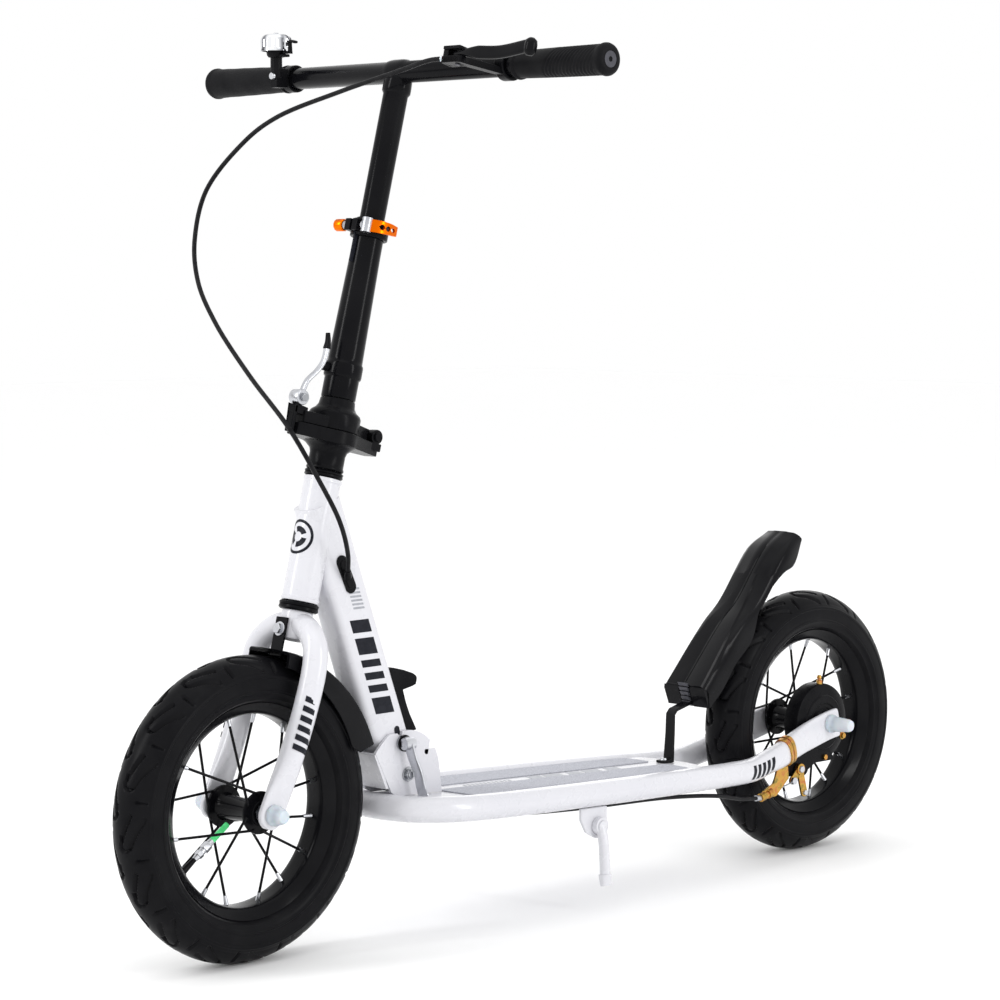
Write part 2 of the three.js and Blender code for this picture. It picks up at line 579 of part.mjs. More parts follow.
const BRAKE_ARM = { pivot: [-377, 103], foot: [-385, 75], pinch: [-364, 91] };
function brakeArm() {
  const [inner, outer] = [COVER_FACE.outer + 1, COVER_FACE.outer + 4];
  const arm = plateXZ(roundEnded(BRAKE_ARM.pivot, BRAKE_ARM.foot, 5), inner, outer, 4);
  const ear = plateXZ(roundEnded(BRAKE_ARM.pivot, BRAKE_ARM.pinch, 4.5), inner, outer, 4);
  const hubBoss = barY(6.5, ...BRAKE_ARM.pivot, COVER_FACE.outer + GAP, outer + 1.5, 10);
  const pinch = barY(4.5, ...BRAKE_ARM.pinch, inner, outer + 4, 6);
  return piece('brake_arm', GOLD_ZINC, join(arm, ear, hubBoss, pinch));
}

// ---------------------------------------------------------------- rear mudguard and kickstand

const GUARD_RIDGE = [[-223, 212], [-284, 277], [-312, 300], [-362, 358], [-390, 375]];
const GUARD_SKIRT = [[-398, 366], [-380, 338], [-359, 330], [-319, 294], [-305, 258], [-276, 232],
  [-254, 205], [-232, 187]];
const GUARD_HALF_WIDTH = 31;
function rearMudguard() {
  const half = GUARD_HALF_WIDTH;
  const outer = plateXZ(outline([...GUARD_RIDGE, ...GUARD_SKIRT]), -half, half);
  const wall = 3;
  const ridge = GUARD_RIDGE.map(([x, z]) => [x - wall, z - wall]);
  const skirt = GUARD_SKIRT.map(([x, z]) => [x - 6, z - 6]);
  const hollow = plateXZ(outline([...ridge, ...skirt]), -half + wall, half - wall);
  return piece('rear_mudguard', BLACK_PLASTIC, cut(outer, hollow));
}

function rearMudguardStrut() {
  const top = DECK_TOP + GAP;
  const deckAt = x => railHeightAt(x) + top;
  const bar = plateXZ(outline([[-196, deckAt(-196)], [-186, deckAt(-186)], [-186, deckAt(-186) + 3],
    [-196, deckAt(-196) + 4], [-200, 190], [-217.5, 213.5], [-235.5, 232.8], [-238, 230.4], [-221.3, 212.4],
    [-204, 189], [-200, deckAt(-200)]]), -8, 8);
  return piece('rear_mudguard_strut', BLACK_PLASTIC, bar);
}

const KICK_PIVOT = [-3, 90];
function kickstandBracket() {
  const plate = plateXZ(outline([[22, 110.2], [22, 98], [14, 84], [-0.3, 76], [-14, 77], [-25, 88], [-18, 95],
    [-18, 109]]), 72, 75);
  const pin = barY(4, ...KICK_PIVOT, 70, 84, 10);
  return piece('kickstand_bracket', WHITE_PAINT, join(plate, pin));
}

// Leg with an eye on the pivot pin; it splays outward and ends in a slanted foot.
function kickstandLeg() {
  const [x, z] = KICK_PIVOT;
  const shape = route([[x, 80, z], [x + 1, 84, z - 12], [x + 2, 87, z - 30], [x + 3.5, 90, z - 58]]);
  const leg = bentBar(shape, { steps: 6, sides: 8, section: roundSection(5.5), side: SIDEWAYS });
  const eye = barY(9, x, z, 75.4, 82.5, 14);
  return piece('kickstand_leg', WHITE_PAINT, cut(join(eye, leg), barY(4 + GAP, x, z, 60, 95, 10)));
}

// ---------------------------------------------------------------- upper stem

function stemClampUpper() {
  const { u, h } = STEM_PIN;
  const bottom = CLAMP_SPLIT + 0.2;
  const body = turnedUpright([[0, bottom], [26, bottom], [26, 553], [20, 557], [17, 567], [0, 567]], 16);
  const hook = join(box(40, 58, -5, 5, 541, 550), box(53, 58, -5, 5, 522, 550));
  const front = join(box(0, 45, -10, 10, bottom, 552), hook);
  const rear = box(u + 8.6, 0, -13, 13, bottom, 553);
  const knuckle = join(barY(7.2, u, h, -3.7, 3.7, 10), box(u, u + 10, -3.7, 3.7, h - 5, h + 7));
  const bore = barZ(POST_BORE + 0.4, POST_BORE + 0.4, 0, 0, 541, 600, 12);
  const pinHole = barY(3.2, u, h, -30, 30, 10);
  return piece('stem_clamp_upper', BLACK_PLASTIC, cut(join(body, front, rear, knuckle), bore, pinHole));
}

function outerPost() {
  const bore = POST_BORE + 0.2;
  const tube = turnedUpright([[bore, 567.4], [17.4, 567.4], [17.4, 589], [19.2, 590], [19.2, 603],
    [17.8, 604], [15.3, 720], [15.3, POST_TOP], [bore, POST_TOP]], 16);
  const bumper = barX(5, -4, 596.5, 17, 26, 10);
  return piece('outer_post', BLACK_PAINT, join(tube, bumper));
}

// Split collar round the top of the outer post, with its bolt.
function heightClamp() {
  const ring = barZ(19, 19, 0, 0, 732, 750, 16);
  const ears = box(14, 27, -9, 9, 735, 747);
  const slit = box(14.5, 30, -1, 1, 730, 755);
  const bore = barZ(15.7, 15.7, 0, 0, 700, 800, 16);
  const bolt = strut(vec(21.5, -24, 741), vec(21.5, 12.5, 741), 2.5, 6);
  const nut = strut(vec(21.5, -26, 741), vec(21.5, -14, 741), 5.5, 10);
  return piece('height_clamp', BLACK_PAINT, join(cut(join(ring, ears), bore, slit), bolt, nut));
}

// Curved lever that wraps round the side of the collar when it is closed.
function heightLever() {
  const wrap = route([[21.5, 17, 741], [12, 25, 741.5], [0, 27, 742], [-12, 25, 742]]);
  const blade = bentBar(wrap, { steps: 5, sides: 8, section: () => [2, 6.5, 0.7] });
  const barrel = barZ(5, 5, 21.5, 18, 734, 748, 10);
  return piece('height_lever', ORANGE_ALLOY, join(blade, barrel));
}

// Lever of the stem latch, lying up against the post when it is closed.
const LATCH_PIVOT = { u: 51, h: 558 };
function stemLatchLever() {
  const { u, h } = LATCH_PIVOT;
  const rise = route([[u, 2, h], [u - 4, 4, h + 16], [u - 14, 7, h + 38], [u - 23, 10, h + 66]]);
  const blade = bentBar(rise, { steps: 5, sides: 8, section: () => [3, 1.6, 0.7], side: vec(1, 0, 0) });
  const eye = barY(6.5, u, h, -7, 7, 12);
  return piece('stem_latch_lever', STEEL, join(blade, eye));
}

// ---------------------------------------------------------------- handlebar

function handlebar() {
  const post = barZ(STEERER_RADIUS, STEERER_RADIUS, 0, 0, POST_FOOT, BAR_HEIGHT, 16);
  const bar = barY(BAR_RADIUS, 0, BAR_HEIGHT, -BAR_HALF_LENGTH, BAR_HALF_LENGTH, 12);
  const collar = barZ(14.5, 14.5, 0, 0, BAR_HEIGHT - 22, BAR_HEIGHT - 8, 12);
  const postBore = barZ(10.8, 10.8, 0, 0, POST_FOOT - 5, BAR_HEIGHT, 12);
  const barBore = barY(9.3, 0, BAR_HEIGHT, -BAR_HALF_LENGTH - 5, BAR_HALF_LENGTH + 5, 12);
  return piece('handlebar', BLACK_PAINT, cut(join(post, bar, collar), postBore, barBore));
}

function grip(name, side) {
  const [inner, outer] = [GRIP_INNER_END, GRIP_OUTER_END];
  const bore = BAR_RADIUS + 2 * GAP;
  const sleeve = turned([[0, outer], [10.5, outer], [14.4, outer - 3], [15.4, outer - 8], [15.2, outer - 40],
    [13.2, inner], [bore, inner], [bore, outer - 1.4], [0, outer - 1.4]], 12, 0, BAR_HEIGHT);
  return piece(name, GRIP_RUBBER, side > 0 ? sleeve : mirrored(sleeve));
}

// Clamp round the bar with an arm forward to the lever's pivot block and the cable's entry.
const LEVER_PIVOT = { u: 46, y: 133, h: BAR_HEIGHT - 1.8 };
function brakeLeverPerch() {
  const { y, h } = LEVER_PIVOT;
  const ring = barY(15, 0, BAR_HEIGHT, y + 16, y + 29, 12);
  const armShape = outline([[8, y + 28], [44, y + 12], [52, y + 10], [54, y + 4], [40, y + 4], [10, y + 16]]);
  const arm = plateXY(armShape, h - 10.2, h - 3.7);
  const block = box(38, 54, y - 16, y + 7, h - 10.2, h - 3.7);
  const cheek = box(38, 54, y - 16, y + 7, h + 3.2, h + 6.8);
  const root = box(40, 52, y - 16, y - 10, h - 10.2, h + 6.8);
  const bore = barY(BAR_RADIUS + GAP, 0, BAR_HEIGHT, y, y + 41, 12);
  return piece('brake_lever_perch', BLACK_PLASTIC, cut(join(ring, arm, block, cheek, root), bore));
}

// Two-finger blade ending in a round knob; it swings toward the grip.
function brakeLever() {
  const { u, y, h } = LEVER_PIVOT;
  const sweep = route([[u, y - 6, h], [u + 3, y + 18, h], [u + 1, y + 55, h - 1], [u + 3, y + 98, h + 3]]);
  const width = point => THREE.MathUtils.clamp(2.5 + (point.y - y - 8) * 0.2, 2.5, 6.5);
  const blade = bentBar(sweep, { steps: 8, sides: 8, section: point => [2.8, width(point), 0.7] });
  const knob = barZ(6, 6, u + 3, y + 99, h - 5, h + 9, 12);
  return piece('brake_lever', BLACK_PLASTIC, join(blade, knob));
}

// ---------------------------------------------------------------- bell, upright in front of the bar

const BAR_PLACE = {
  x: STEER_FOOT_X - Math.sin(STEER_LEAN) * BAR_HEIGHT,
  z: Math.cos(STEER_LEAN) * BAR_HEIGHT,
};
const BELL = { x: 234.8, y: -162.5, base: 904, radius: 16.4, height: 18 };

// Strap round the bar, a post in front of it and a round plate under the dome.
function bellBase() {
  const { x, y, base } = BELL;
  const strap = cut(barY(14.4, BAR_PLACE.x, BAR_PLACE.z, y - 5, y + 5, 12),
    barY(BAR_RADIUS + 0.8, BAR_PLACE.x, BAR_PLACE.z, y - 9, y + 9, 12));
  const foot = box(BAR_PLACE.x + 12.6, x + 5, y - 5, y + 5, BAR_PLACE.z - 10, BAR_PLACE.z + 10);
  const post = barZ(6, 6, x, y, BAR_PLACE.z, base - 1.5, 10);
  const plate = barZ(11, 11, x, y, base - 6.5, base - 2.5, 12);
  const ear = box(x - 4, x + 4, y + 8, y + 18, base - 6.5, base - 3.5);
  return piece('bell_base', BLACK_PLASTIC, join(strap, foot, post, plate, ear));
}

function bellDome() {
  const { x, y, base, radius, height } = BELL;
  const wall = 1.6;
  const skirtTop = base + 0.6 * height;
  const dome = turned([[0, base + height], [0.55 * radius, base + height - 1.5],
    [0.9 * radius, base + height - 5], [radius, skirtTop], [radius, base], [radius - wall, base],
    [radius - wall, skirtTop], [0.55 * radius, base + height - 3.5], [0, base + height - wall]], 16);
  return piece('bell_dome', STEEL, dome.rotateX(Math.PI / 2).translate(x, y, 0));
}

const BELL_LEVER_PIVOT = { x: BELL.x, y: BELL.y + 15, z: BELL.base - 3 };
function bellThumbLever() {
  const { x, y, z } = BELL_LEVER_PIVOT;
  const pivot = barZ(3.2, 3.2, x, y, z - 0.2, z + 3, 10);
  const arm = box(x - 2, x + 2, y, y + 8, z, z + 2.6);
  const rise = box(x - 2, x + 2, y + 5, y + 8, z, z + 13);
  const pad = box(x - 2.5, x + 2.5, y + 5, y + 15, z + 10.5, z + 13);
  return piece('bell_thumb_lever', BLACK_PLASTIC, join(pivot, arm, rise, pad));
}

// ---------------------------------------------------------------- brake cable

const CABLE_RADIUS = 2.4;

// From the brake lever, round in front of the stem, to the port in the side of the downtube.
const UPPER_CABLE = [[254.7, 116.5, 883], [257.5, 92, 882], [263, 60, 874], [275, -20, 855], [290, -101, 831],
  [302, -135, 808], [322, -172, 759], [338, -172, 708], [350, -153, 667], [362, -113, 627], [374, -45, 574],
  [377, 20, 522], [363, 45, 475], [340, 50, 433], [318, 38, 398], [304.4, 22.5, 374.6]];

// Under the deck from the foot of the downtube to the brake, then the bare wire to the brake arm.
const LOWER_CABLE = [[205, 24, 127], [170, 34, 120], [100, 48, 112], [0, 53, 106], [-132, 54, 101],
  [-220, 52, 92], [-270, 48.5, 82], [ANCHOR_BOSS.front.x + 0.8, 46, 78.9]];

function cable(name, points, steps) {
  const section = roundSection(CABLE_RADIUS);
  const tube = bentBar(route(points), { steps, sides: 8, section, side: vec(0.6, 0.8, 0.1) });
  return piece(name, BLACK_PLASTIC, tube);
}

// ---------------------------------------------------------------- the whole scooter

const [FRONT, REAR] = [FRONT_WHEEL, REAR_WHEEL];
const scooter = new THREE.Group();
scooter.add(
  deckRail('deck_rail_left', 1), deckRail('deck_rail_right', -1), deckPlate(),
  deckGrip('deck_grip_left', 1), deckGrip('deck_grip_right', -1),
  hingeBracket(), hingePivotBolt(), kickstandBracket(), kickstandLeg(),
  axle('rear_axle', REAR),
  axleCap('rear_axle_cap_left', REAR, 1, 31), axleCap('rear_axle_cap_right', REAR, -1, 31),
  brakeCover(), brakeBand(), brakeStayClamp(), brakeCableAnchor(), brakeArm(),
  rearMudguard(), rearMudguardStrut(), cable('brake_cable_lower', LOWER_CABLE, 20),
  tyre('rear_tyre', REAR), rim('rear_rim', REAR),
  hub('rear_hub', REAR, { ends: [-37, 34], flanges: [-32, 8.5] }),
  brakeDrum(), bearing('rear_bearing_right', REAR, -37), bearing('rear_bearing_left', REAR, 28),
  frontFrame(), cableGrommet(), foldRelease(), foldAxle(), foldCamLever(),
  frontMudguard(), axle('front_axle', FRONT),
  axleCap('front_axle_cap_left', FRONT, 1, 17), axleCap('front_axle_cap_right', FRONT, -1, 17),
  tyre('front_tyre', FRONT), rim('front_rim', FRONT),
  hub('front_hub', FRONT, { ends: [-32, 32], flanges: [-27, 27] }),
  bearing('front_bearing_right', FRONT, -32), bearing('front_bearing_left', FRONT, 26),
  bellBase(), bellDome(), bellThumbLever(), cable('brake_cable_upper', UPPER_CABLE, 40),
);

// Everything on the steering axis is drawn upright in this leaning group.
const steering = new THREE.Group();
steering.position.x = STEER_FOOT_X;
steering.rotation.y = -STEER_LEAN;
steering.add(
  headsetRing('headset_lower', 352, 361, 20), headsetRing('headset_upper', 487, 494.3, 19.5),
  fork(), stemClampLower(), stemHingePin(), stemClampUpper(), stemLatchLever(),
  outerPost(), heightClamp(), heightLever(), handlebar(), grip('grip_left', 1), grip('grip_right', -1),
  brakeLeverPerch(), brakeLever(),
);
scooter.add(steering);

export default scooter;
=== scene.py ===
"""Kick scooter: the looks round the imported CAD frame.

Lengths in the builders below are millimetres, in the frame of the CAD: +X forward, +Y the rider's
left, +Z up, the origin on the ground midway between the axles. Objects are made in metres.
"""

import json
import math

import bmesh
import bpy
from mathutils import Matrix, Vector


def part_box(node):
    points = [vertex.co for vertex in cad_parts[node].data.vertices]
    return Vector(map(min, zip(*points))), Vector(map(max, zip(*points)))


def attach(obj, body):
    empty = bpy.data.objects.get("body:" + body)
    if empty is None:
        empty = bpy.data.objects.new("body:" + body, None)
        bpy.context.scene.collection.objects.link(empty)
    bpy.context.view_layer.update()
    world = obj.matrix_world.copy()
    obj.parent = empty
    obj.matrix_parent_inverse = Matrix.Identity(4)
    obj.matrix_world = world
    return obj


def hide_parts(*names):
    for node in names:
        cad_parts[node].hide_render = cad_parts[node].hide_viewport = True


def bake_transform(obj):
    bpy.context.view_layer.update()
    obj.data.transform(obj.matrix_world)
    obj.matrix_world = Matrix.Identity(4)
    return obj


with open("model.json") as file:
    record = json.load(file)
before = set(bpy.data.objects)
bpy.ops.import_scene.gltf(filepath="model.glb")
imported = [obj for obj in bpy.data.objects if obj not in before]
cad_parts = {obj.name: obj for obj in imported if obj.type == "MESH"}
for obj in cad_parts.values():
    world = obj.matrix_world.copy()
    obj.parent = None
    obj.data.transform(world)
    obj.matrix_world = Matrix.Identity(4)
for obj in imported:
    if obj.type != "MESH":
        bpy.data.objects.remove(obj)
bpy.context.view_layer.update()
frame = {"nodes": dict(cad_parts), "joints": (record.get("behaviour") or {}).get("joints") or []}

# ---------------------------------------------------------------- places, from the frame

METRE = 1000.0
JOINTS = {joint["name"]: joint for joint in frame["joints"]}


def low(node):
    return [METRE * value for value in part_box(node)[0]]


def high(node):
    return [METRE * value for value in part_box(node)[1]]


def centre(node):
    return [(a + b) / 2 for a, b in zip(low(node), high(node))]


def joint_place(name):
    return Vector(JOINTS[name]["pos_m"]) * METRE


GAP = 0.3
REAR = (joint_place("rear_wheel_spin").x, 0.0, joint_place("rear_wheel_spin").z)
FRONT = (joint_place("front_wheel_spin").x, 0.0, joint_place("front_wheel_spin").z)
WHEEL_RADIUS = high("front_tyre")[2] / 2
FOLD_PIVOT = joint_place("deck_fold")
FOLD_AXLE = (230.0, 198.0)
STEER_AXIS = Vector(JOINTS["steering"]["axis"]).normalized()
STEER_LEAN = math.atan2(-STEER_AXIS.x, STEER_AXIS.z)
STEER_POINT = joint_place("steering")
STEER_FOOT_X = STEER_POINT.x + STEER_POINT.z * math.tan(STEER_LEAN)
STEERING = Matrix.Translation((STEER_FOOT_X, 0, 0)) @ Matrix.Rotation(-STEER_LEAN, 4, "Y")
BAR_HEIGHT = (centre("grip_left")[2]) / math.cos(STEER_LEAN)
BAR_PLACE = (centre("grip_left")[0], centre("grip_left")[2])
RAIL_HEIGHT = 124.6
RAIL_SLOPE = 0.038
ON_DECK = Matrix.Translation((0, 0, RAIL_HEIGHT)) @ Matrix.Rotation(-math.atan(RAIL_SLOPE), 4, "Y")
DECK_TOP = 9.3

# ---------------------------------------------------------------- materials


class Shader:
    """A Principled material with helpers for the node chains used below."""

    def __init__(self, name, color, roughness, metallic=0.0):
        self.material = bpy.data.materials.new(name)
        self.material.use_nodes = True
        self.nodes = self.material.node_tree.nodes
        self.links = self.material.node_tree.links
        self.shader = self.nodes["Principled BSDF"]
        self.shader.inputs["Base Color"].default_value = (*color, 1)
        self.shader.inputs["Roughness"].default_value = roughness
        self.shader.inputs["Metallic"].default_value = metallic
        self.where = self.nodes.new("ShaderNodeTexCoord").outputs["Object"]

    def noise(self, scale, detail=3.0, roughness=0.5, stretch=(1, 1, 1)):
        source = self.where
        if stretch != (1, 1, 1):
            mapping = self.nodes.new("ShaderNodeMapping")
            mapping.inputs["Scale"].default_value = stretch
            self.links.new(source, mapping.inputs["Vector"])
            source = mapping.outputs["Vector"]
        texture = self.nodes.new("ShaderNodeTexNoise")
        texture.inputs["Scale"].default_value = scale
        texture.inputs["Detail"].default_value = detail
        texture.inputs["Roughness"].default_value = roughness
        self.links.new(source, texture.inputs["Vector"])
        return texture.outputs["Fac"]

    def cells(self, scale):
        texture = self.nodes.new("ShaderNodeTexVoronoi")
        texture.inputs["Scale"].default_value = scale
        self.links.new(self.where, texture.inputs["Vector"])
        return texture.outputs["Distance"]

    def ramp(self, value, stops):
        node = self.nodes.new("ShaderNodeValToRGB")
        elements = node.color_ramp.elements
        while len(elements) < len(stops):
            elements.new(0.5)
        for element, (position, color) in zip(elements, stops):
            element.position = position
            element.color = (*color, 1)
        self.links.new(value, node.inputs["Fac"])
        return node.outputs["Color"]

    def span(self, value, lowest, highest):
        node = self.nodes.new("ShaderNodeMapRange")
        node.inputs["To Min"].default_value = lowest
        node.inputs["To Max"].default_value = highest
        self.links.new(value, node.inputs["Value"])
        return node.outputs["Result"]

    def vary_color(self, value, stops):
        self.links.new(self.ramp(value, stops), self.shader.inputs["Base Color"])
        return self

    def vary_roughness(self, value, lowest, highest):
        self.links.new(self.span(value, lowest, highest), self.shader.inputs["Roughness"])
        return self

    def bump(self, value, strength, distance_mm):
        node = self.nodes.new("ShaderNodeBump")
        node.inputs["Strength"].default_value = strength
        node.inputs["Distance"].default_value = distance_mm / METRE
        self.links.new(value, node.inputs["Height"])
        self.links.new(node.outputs["Normal"], self.shader.inputs["Normal"])
        return self

    def dull(self, level):
        self.shader.inputs["Specular IOR Level"].default_value = level
        return self

    def coat(self, weight, roughness):
        self.shader.inputs["Coat Weight"].default_value = weight
        self.shader.inputs["Coat Roughness"].default_value = roughness
        return self


def make_white_paint():
    paint = Shader("white_paint", (0.84, 0.85, 0.88), 0.28)
    tint = paint.noise(9, 2)
    paint.vary_color(tint, [(0.3, (0.64, 0.64, 0.68)), (0.7, (0.68, 0.68, 0.715))])
    paint.vary_roughness(paint.noise(60, 4), 0.22, 0.34)
    return paint.bump(paint.noise(420, 2), 0.10, 0.4).coat(0.5, 0.08).material


def make_black_paint():
    paint = Shader("black_paint", (0.004, 0.004, 0.005), 0.25)
    paint.vary_color(paint.noise(14, 3), [(0.3, (0.002, 0.002, 0.003)), (0.7, (0.006, 0.006, 0.007))])
    paint.vary_roughness(paint.noise(80, 4), 0.13, 0.22)
    return paint.bump(paint.noise(500, 2), 0.04, 0.2).dull(0.09).material


def make_black_plastic():
    plastic = Shader("black_plastic", (0.004, 0.004, 0.005), 0.4)
    plastic.vary_color(plastic.noise(30, 4), [(0.3, (0.002, 0.002, 0.003)), (0.7, (0.007, 0.007, 0.008))])
    plastic.vary_roughness(plastic.noise(120, 4), 0.22, 0.34)
    return plastic.bump(plastic.cells(1600), 0.12, 0.12).dull(0.075).material


def make_guard_plastic():
    plastic = Shader("guard_plastic", (0.005, 0.005, 0.006), 0.3)
    plastic.vary_color(plastic.noise(18, 4), [(0.3, (0.003, 0.003, 0.004)), (0.7, (0.008, 0.008, 0.009))])
    plastic.vary_roughness(plastic.noise(90, 5), 0.13, 0.22)
    return plastic.bump(plastic.cells(1300), 0.06, 0.12).dull(0.10).material


def make_tyre_rubber():
    rubber = Shader("tyre_rubber", (0.02, 0.02, 0.021), 0.7)
    rubber.vary_color(
        rubber.noise(34, 5, 0.6),
        [(0.25, (0.003, 0.003, 0.004)), (0.6, (0.006, 0.006, 0.007)), (0.9, (0.012, 0.012, 0.013))],
    )
    rubber.vary_roughness(rubber.noise(70, 5), 0.26, 0.42)
    return rubber.bump(rubber.noise(900, 3), 0.16, 0.2).dull(0.07).material


def make_grip_rubber():
    rubber = Shader("grip_rubber", (0.02, 0.02, 0.022), 0.62)
    rubber.vary_color(rubber.noise(40, 4), [(0.3, (0.004, 0.004, 0.005)), (0.7, (0.009, 0.009, 0.010))])
    rubber.vary_roughness(rubber.noise(90, 4), 0.45, 0.6)
    return rubber.bump(rubber.cells(1900), 0.25, 0.18).dull(0.08).material


def make_metal(name, dark, light, roughness, brush=(1, 1, 1), clouds=22):
    metal = Shader(name, light, roughness, 1.0)
    metal.vary_color(metal.noise(clouds, 4), [(0.3, dark), (0.7, light)])
    metal.vary_roughness(metal.noise(150, 4, 0.6, brush), roughness * 0.75, roughness * 1.35)
    return metal.bump(metal.noise(700, 3, 0.5, brush), 0.06, 0.1).material


def make_chrome():
    """Bright plating with dark and bright upright bands painted into its colour, a painted reflection of a
    dim room.
    """
    chrome = Shader("chrome", (0.80, 0.81, 0.83), 0.08, 1.0)
    # painted reflection: the base colour carries dark and bright upright bands standing in for a dim room
    # mirrored in the plating
    chrome.vary_color(
        chrome.noise(95, 1, 0.4, (1, 1, 0.06)),
        [(0.40, (0.07, 0.07, 0.08)), (0.50, (0.50, 0.51, 0.54)), (0.60, (0.93, 0.94, 0.96))],
    )
    chrome.vary_roughness(chrome.noise(150, 3), 0.05, 0.12)
    return chrome.bump(chrome.noise(500, 2), 0.03, 0.1).material


def make_gold_zinc():
    zinc = Shader("gold_zinc", (0.72, 0.46, 0.14), 0.3, 1.0)
    zinc.vary_color(
        zinc.noise(110, 3, 0.6),
        [(0.32, (0.26, 0.21, 0.06)), (0.5, (0.58, 0.33, 0.07)), (0.66, (0.50, 0.17, 0.07))],
    )
    zinc.vary_roughness(zinc.noise(160, 4), 0.20, 0.38)
    return zinc.bump(zinc.noise(800, 3), 0.06, 0.1).material


def make_clear_plastic():
    plastic = Shader("clear_plastic", (0.82, 0.90, 0.97), 0.22)
    plastic.vary_color(plastic.noise(60, 3), [(0.3, (0.84, 0.88, 0.96)), (0.7, (0.93, 0.95, 0.99))])
    plastic.shader.inputs["Transmission Weight"].default_value = 0.35
    plastic.shader.inputs["IOR"].default_value = 1.45
    plastic.shader.inputs["Subsurface Weight"].default_value = 0.2
    return plastic.bump(plastic.noise(300, 3), 0.05, 0.2).material


def make_deck_tape():
    tape = Shader("deck_tape", (0.45, 0.46, 0.50), 0.85)
    tape.vary_color(
        tape.noise(1500, 2, 0.7),
        [(0.32, (0.20, 0.20, 0.23)), (0.5, (0.44, 0.45, 0.50)), (0.72, (0.72, 0.73, 0.78))],
    )
    return tape.bump(tape.cells(1100), 0.8, 0.5).material


def make_print(name, color):
    ink = Shader(name, color, 0.35)
    ink.dull(0.12)
    lighter = tuple(min(1, 1.2 * part + 0.005) for part in color)
    ink.vary_color(ink.noise(200, 3), [(0.35, color), (0.65, lighter)])
    return ink.bump(ink.noise(500, 2), 0.05, 0.1).material


WHITE = make_white_paint()
BLACK = make_black_paint()
PLASTIC = make_black_plastic()
GUARD = make_guard_plastic()
TYRE = make_tyre_rubber()
GRIP = make_grip_rubber()
STEEL = make_metal("steel", (0.30, 0.31, 0.33), (0.52, 0.53, 0.55), 0.24)
CHROME = make_chrome()
SATIN = make_metal("satin_alloy", (0.46, 0.47, 0.50), (0.70, 0.71, 0.74), 0.28, brush=(1, 14, 1))
ORANGE = make_metal("orange_alloy", (0.80, 0.13, 0.0), (0.92, 0.20, 0.004), 0.24)
GOLD = make_gold_zinc()
CLEAR = make_clear_plastic()
TAPE = make_deck_tape()
CABLE = make_print("cable_housing", (0.004, 0.004, 0.005))
# dark ink for the printed graphics, also used as painted shade in the release slots and the post slit
DARK_PRINT_AND_SHADE = make_print("dark_print_and_painted_shade", (0.008, 0.009, 0.014))
SATIN_BLACK = make_print("satin_black", (0.06, 0.06, 0.07))
GREY_PRINT = make_print("grey_print", (0.32, 0.33, 0.36))
GREEN = make_print("green_cap", (0.10, 0.72, 0.24))

# ---------------------------------------------------------------- shells: (corners in mm, faces)


def placed(shell, matrix):
    corners, faces = shell
    return [matrix @ Vector(corner) for corner in corners], faces


def flipped(shell):
    return placed(shell, Matrix.Diagonal((1, -1, 1, 1)))


def leaning(shell):
    """The shell moved from the steering axis's own upright frame into place."""
    return placed(shell, STEERING)


def all_leaning(shells):
    return [leaning(shell) for shell in shells]


def lerp(a, b, share):
    return a + (b - a) * share


def clamp(value):
    return max(0.0, min(1.0, value))


def shifted(shell, x=0.0, y=0.0, z=0.0):
    return placed(shell, Matrix.Translation((x, y, z)))


AXIS_TURN = {
    "Z": Matrix.Identity(4),
    "Y": Matrix.Rotation(-math.pi / 2, 4, "X"),
    "X": Matrix.Rotation(math.pi / 2, 4, "Y"),
}


def rings(circles, closed_rings=False):
    """Skins a list of equal loops of corners, with end caps unless the loops close on themselves."""
    count = len(circles[0])
    corners = [corner for circle in circles for corner in circle]
    faces = []
    last = len(circles) if closed_rings else len(circles) - 1
    for ring in range(last):
        here, there = ring * count, ((ring + 1) % len(circles)) * count
        for step in range(count):
            other = (step + 1) % count
            faces.append((here + step, here + other, there + other, there + step))
    if not closed_rings:
        faces.append(tuple(range(count)))
        faces.append(tuple(reversed(range((len(circles) - 1) * count, len(circles) * count))))
    return corners, faces


def lathe(profile, at=(0, 0, 0), axis="Z", segments=64, radius_at=None):
    """Turned body from (radius, along) corners. The profile closes on itself or runs axis to axis."""
    loops = []
    for step in range(segments):
        angle = 2 * math.pi * step / segments
        loop = []
        for radius, along in profile:
            if radius_at:
                radius = radius_at(radius, along, angle)
            loop.append(Vector((radius * math.cos(angle), radius * math.sin(angle), along)))
        loops.append(loop)
    corners, faces = rings(loops, closed_rings=True)
    return placed((corners, faces), Matrix.Translation(at) @ AXIS_TURN[axis])


def heading_at(path, index):
    """Unit direction of a path at one of its points."""
    before, after = path[max(index - 1, 0)], path[min(index + 1, len(path) - 1)]
    return (after - before).normalized()


def rod(start, end, radius, end_radius=None, sides=28):
    start, end = Vector(start), Vector(end)
    end_radius = radius if end_radius is None else end_radius
    turn = (end - start).to_track_quat("Z", "Y").to_matrix().to_4x4()
    length = (end - start).length
    profile = [(0, 0), (radius, 0), (end_radius, length), (0, length)]
    corners, faces = lathe(profile, segments=sides)
    return placed((corners, faces), Matrix.Translation(start) @ turn)


def box(x0, x1, y0, y1, z0, z1):
    corners = [(x, y, z) for x in (x0, x1) for y in (y0, y1) for z in (z0, z1)]
    faces = [(0, 1, 3, 2), (4, 6, 7, 5), (0, 4, 5, 1), (2, 3, 7, 6), (0, 2, 6, 4), (1, 5, 7, 3)]
    return [Vector(corner) for corner in corners], faces


def plate(outline, first, second, plane="XZ"):
    """Flat sheet of that outline, from one depth to another square to its plane."""
    places = {
        "XZ": lambda a, b, depth: Vector((a, depth, b)),
        "XY": lambda a, b, depth: Vector((a, b, depth)),
        "YZ": lambda a, b, depth: Vector((depth, a, b)),
    }[plane]
    return rings([[places(a, b, depth) for a, b in outline] for depth in (first, second)])


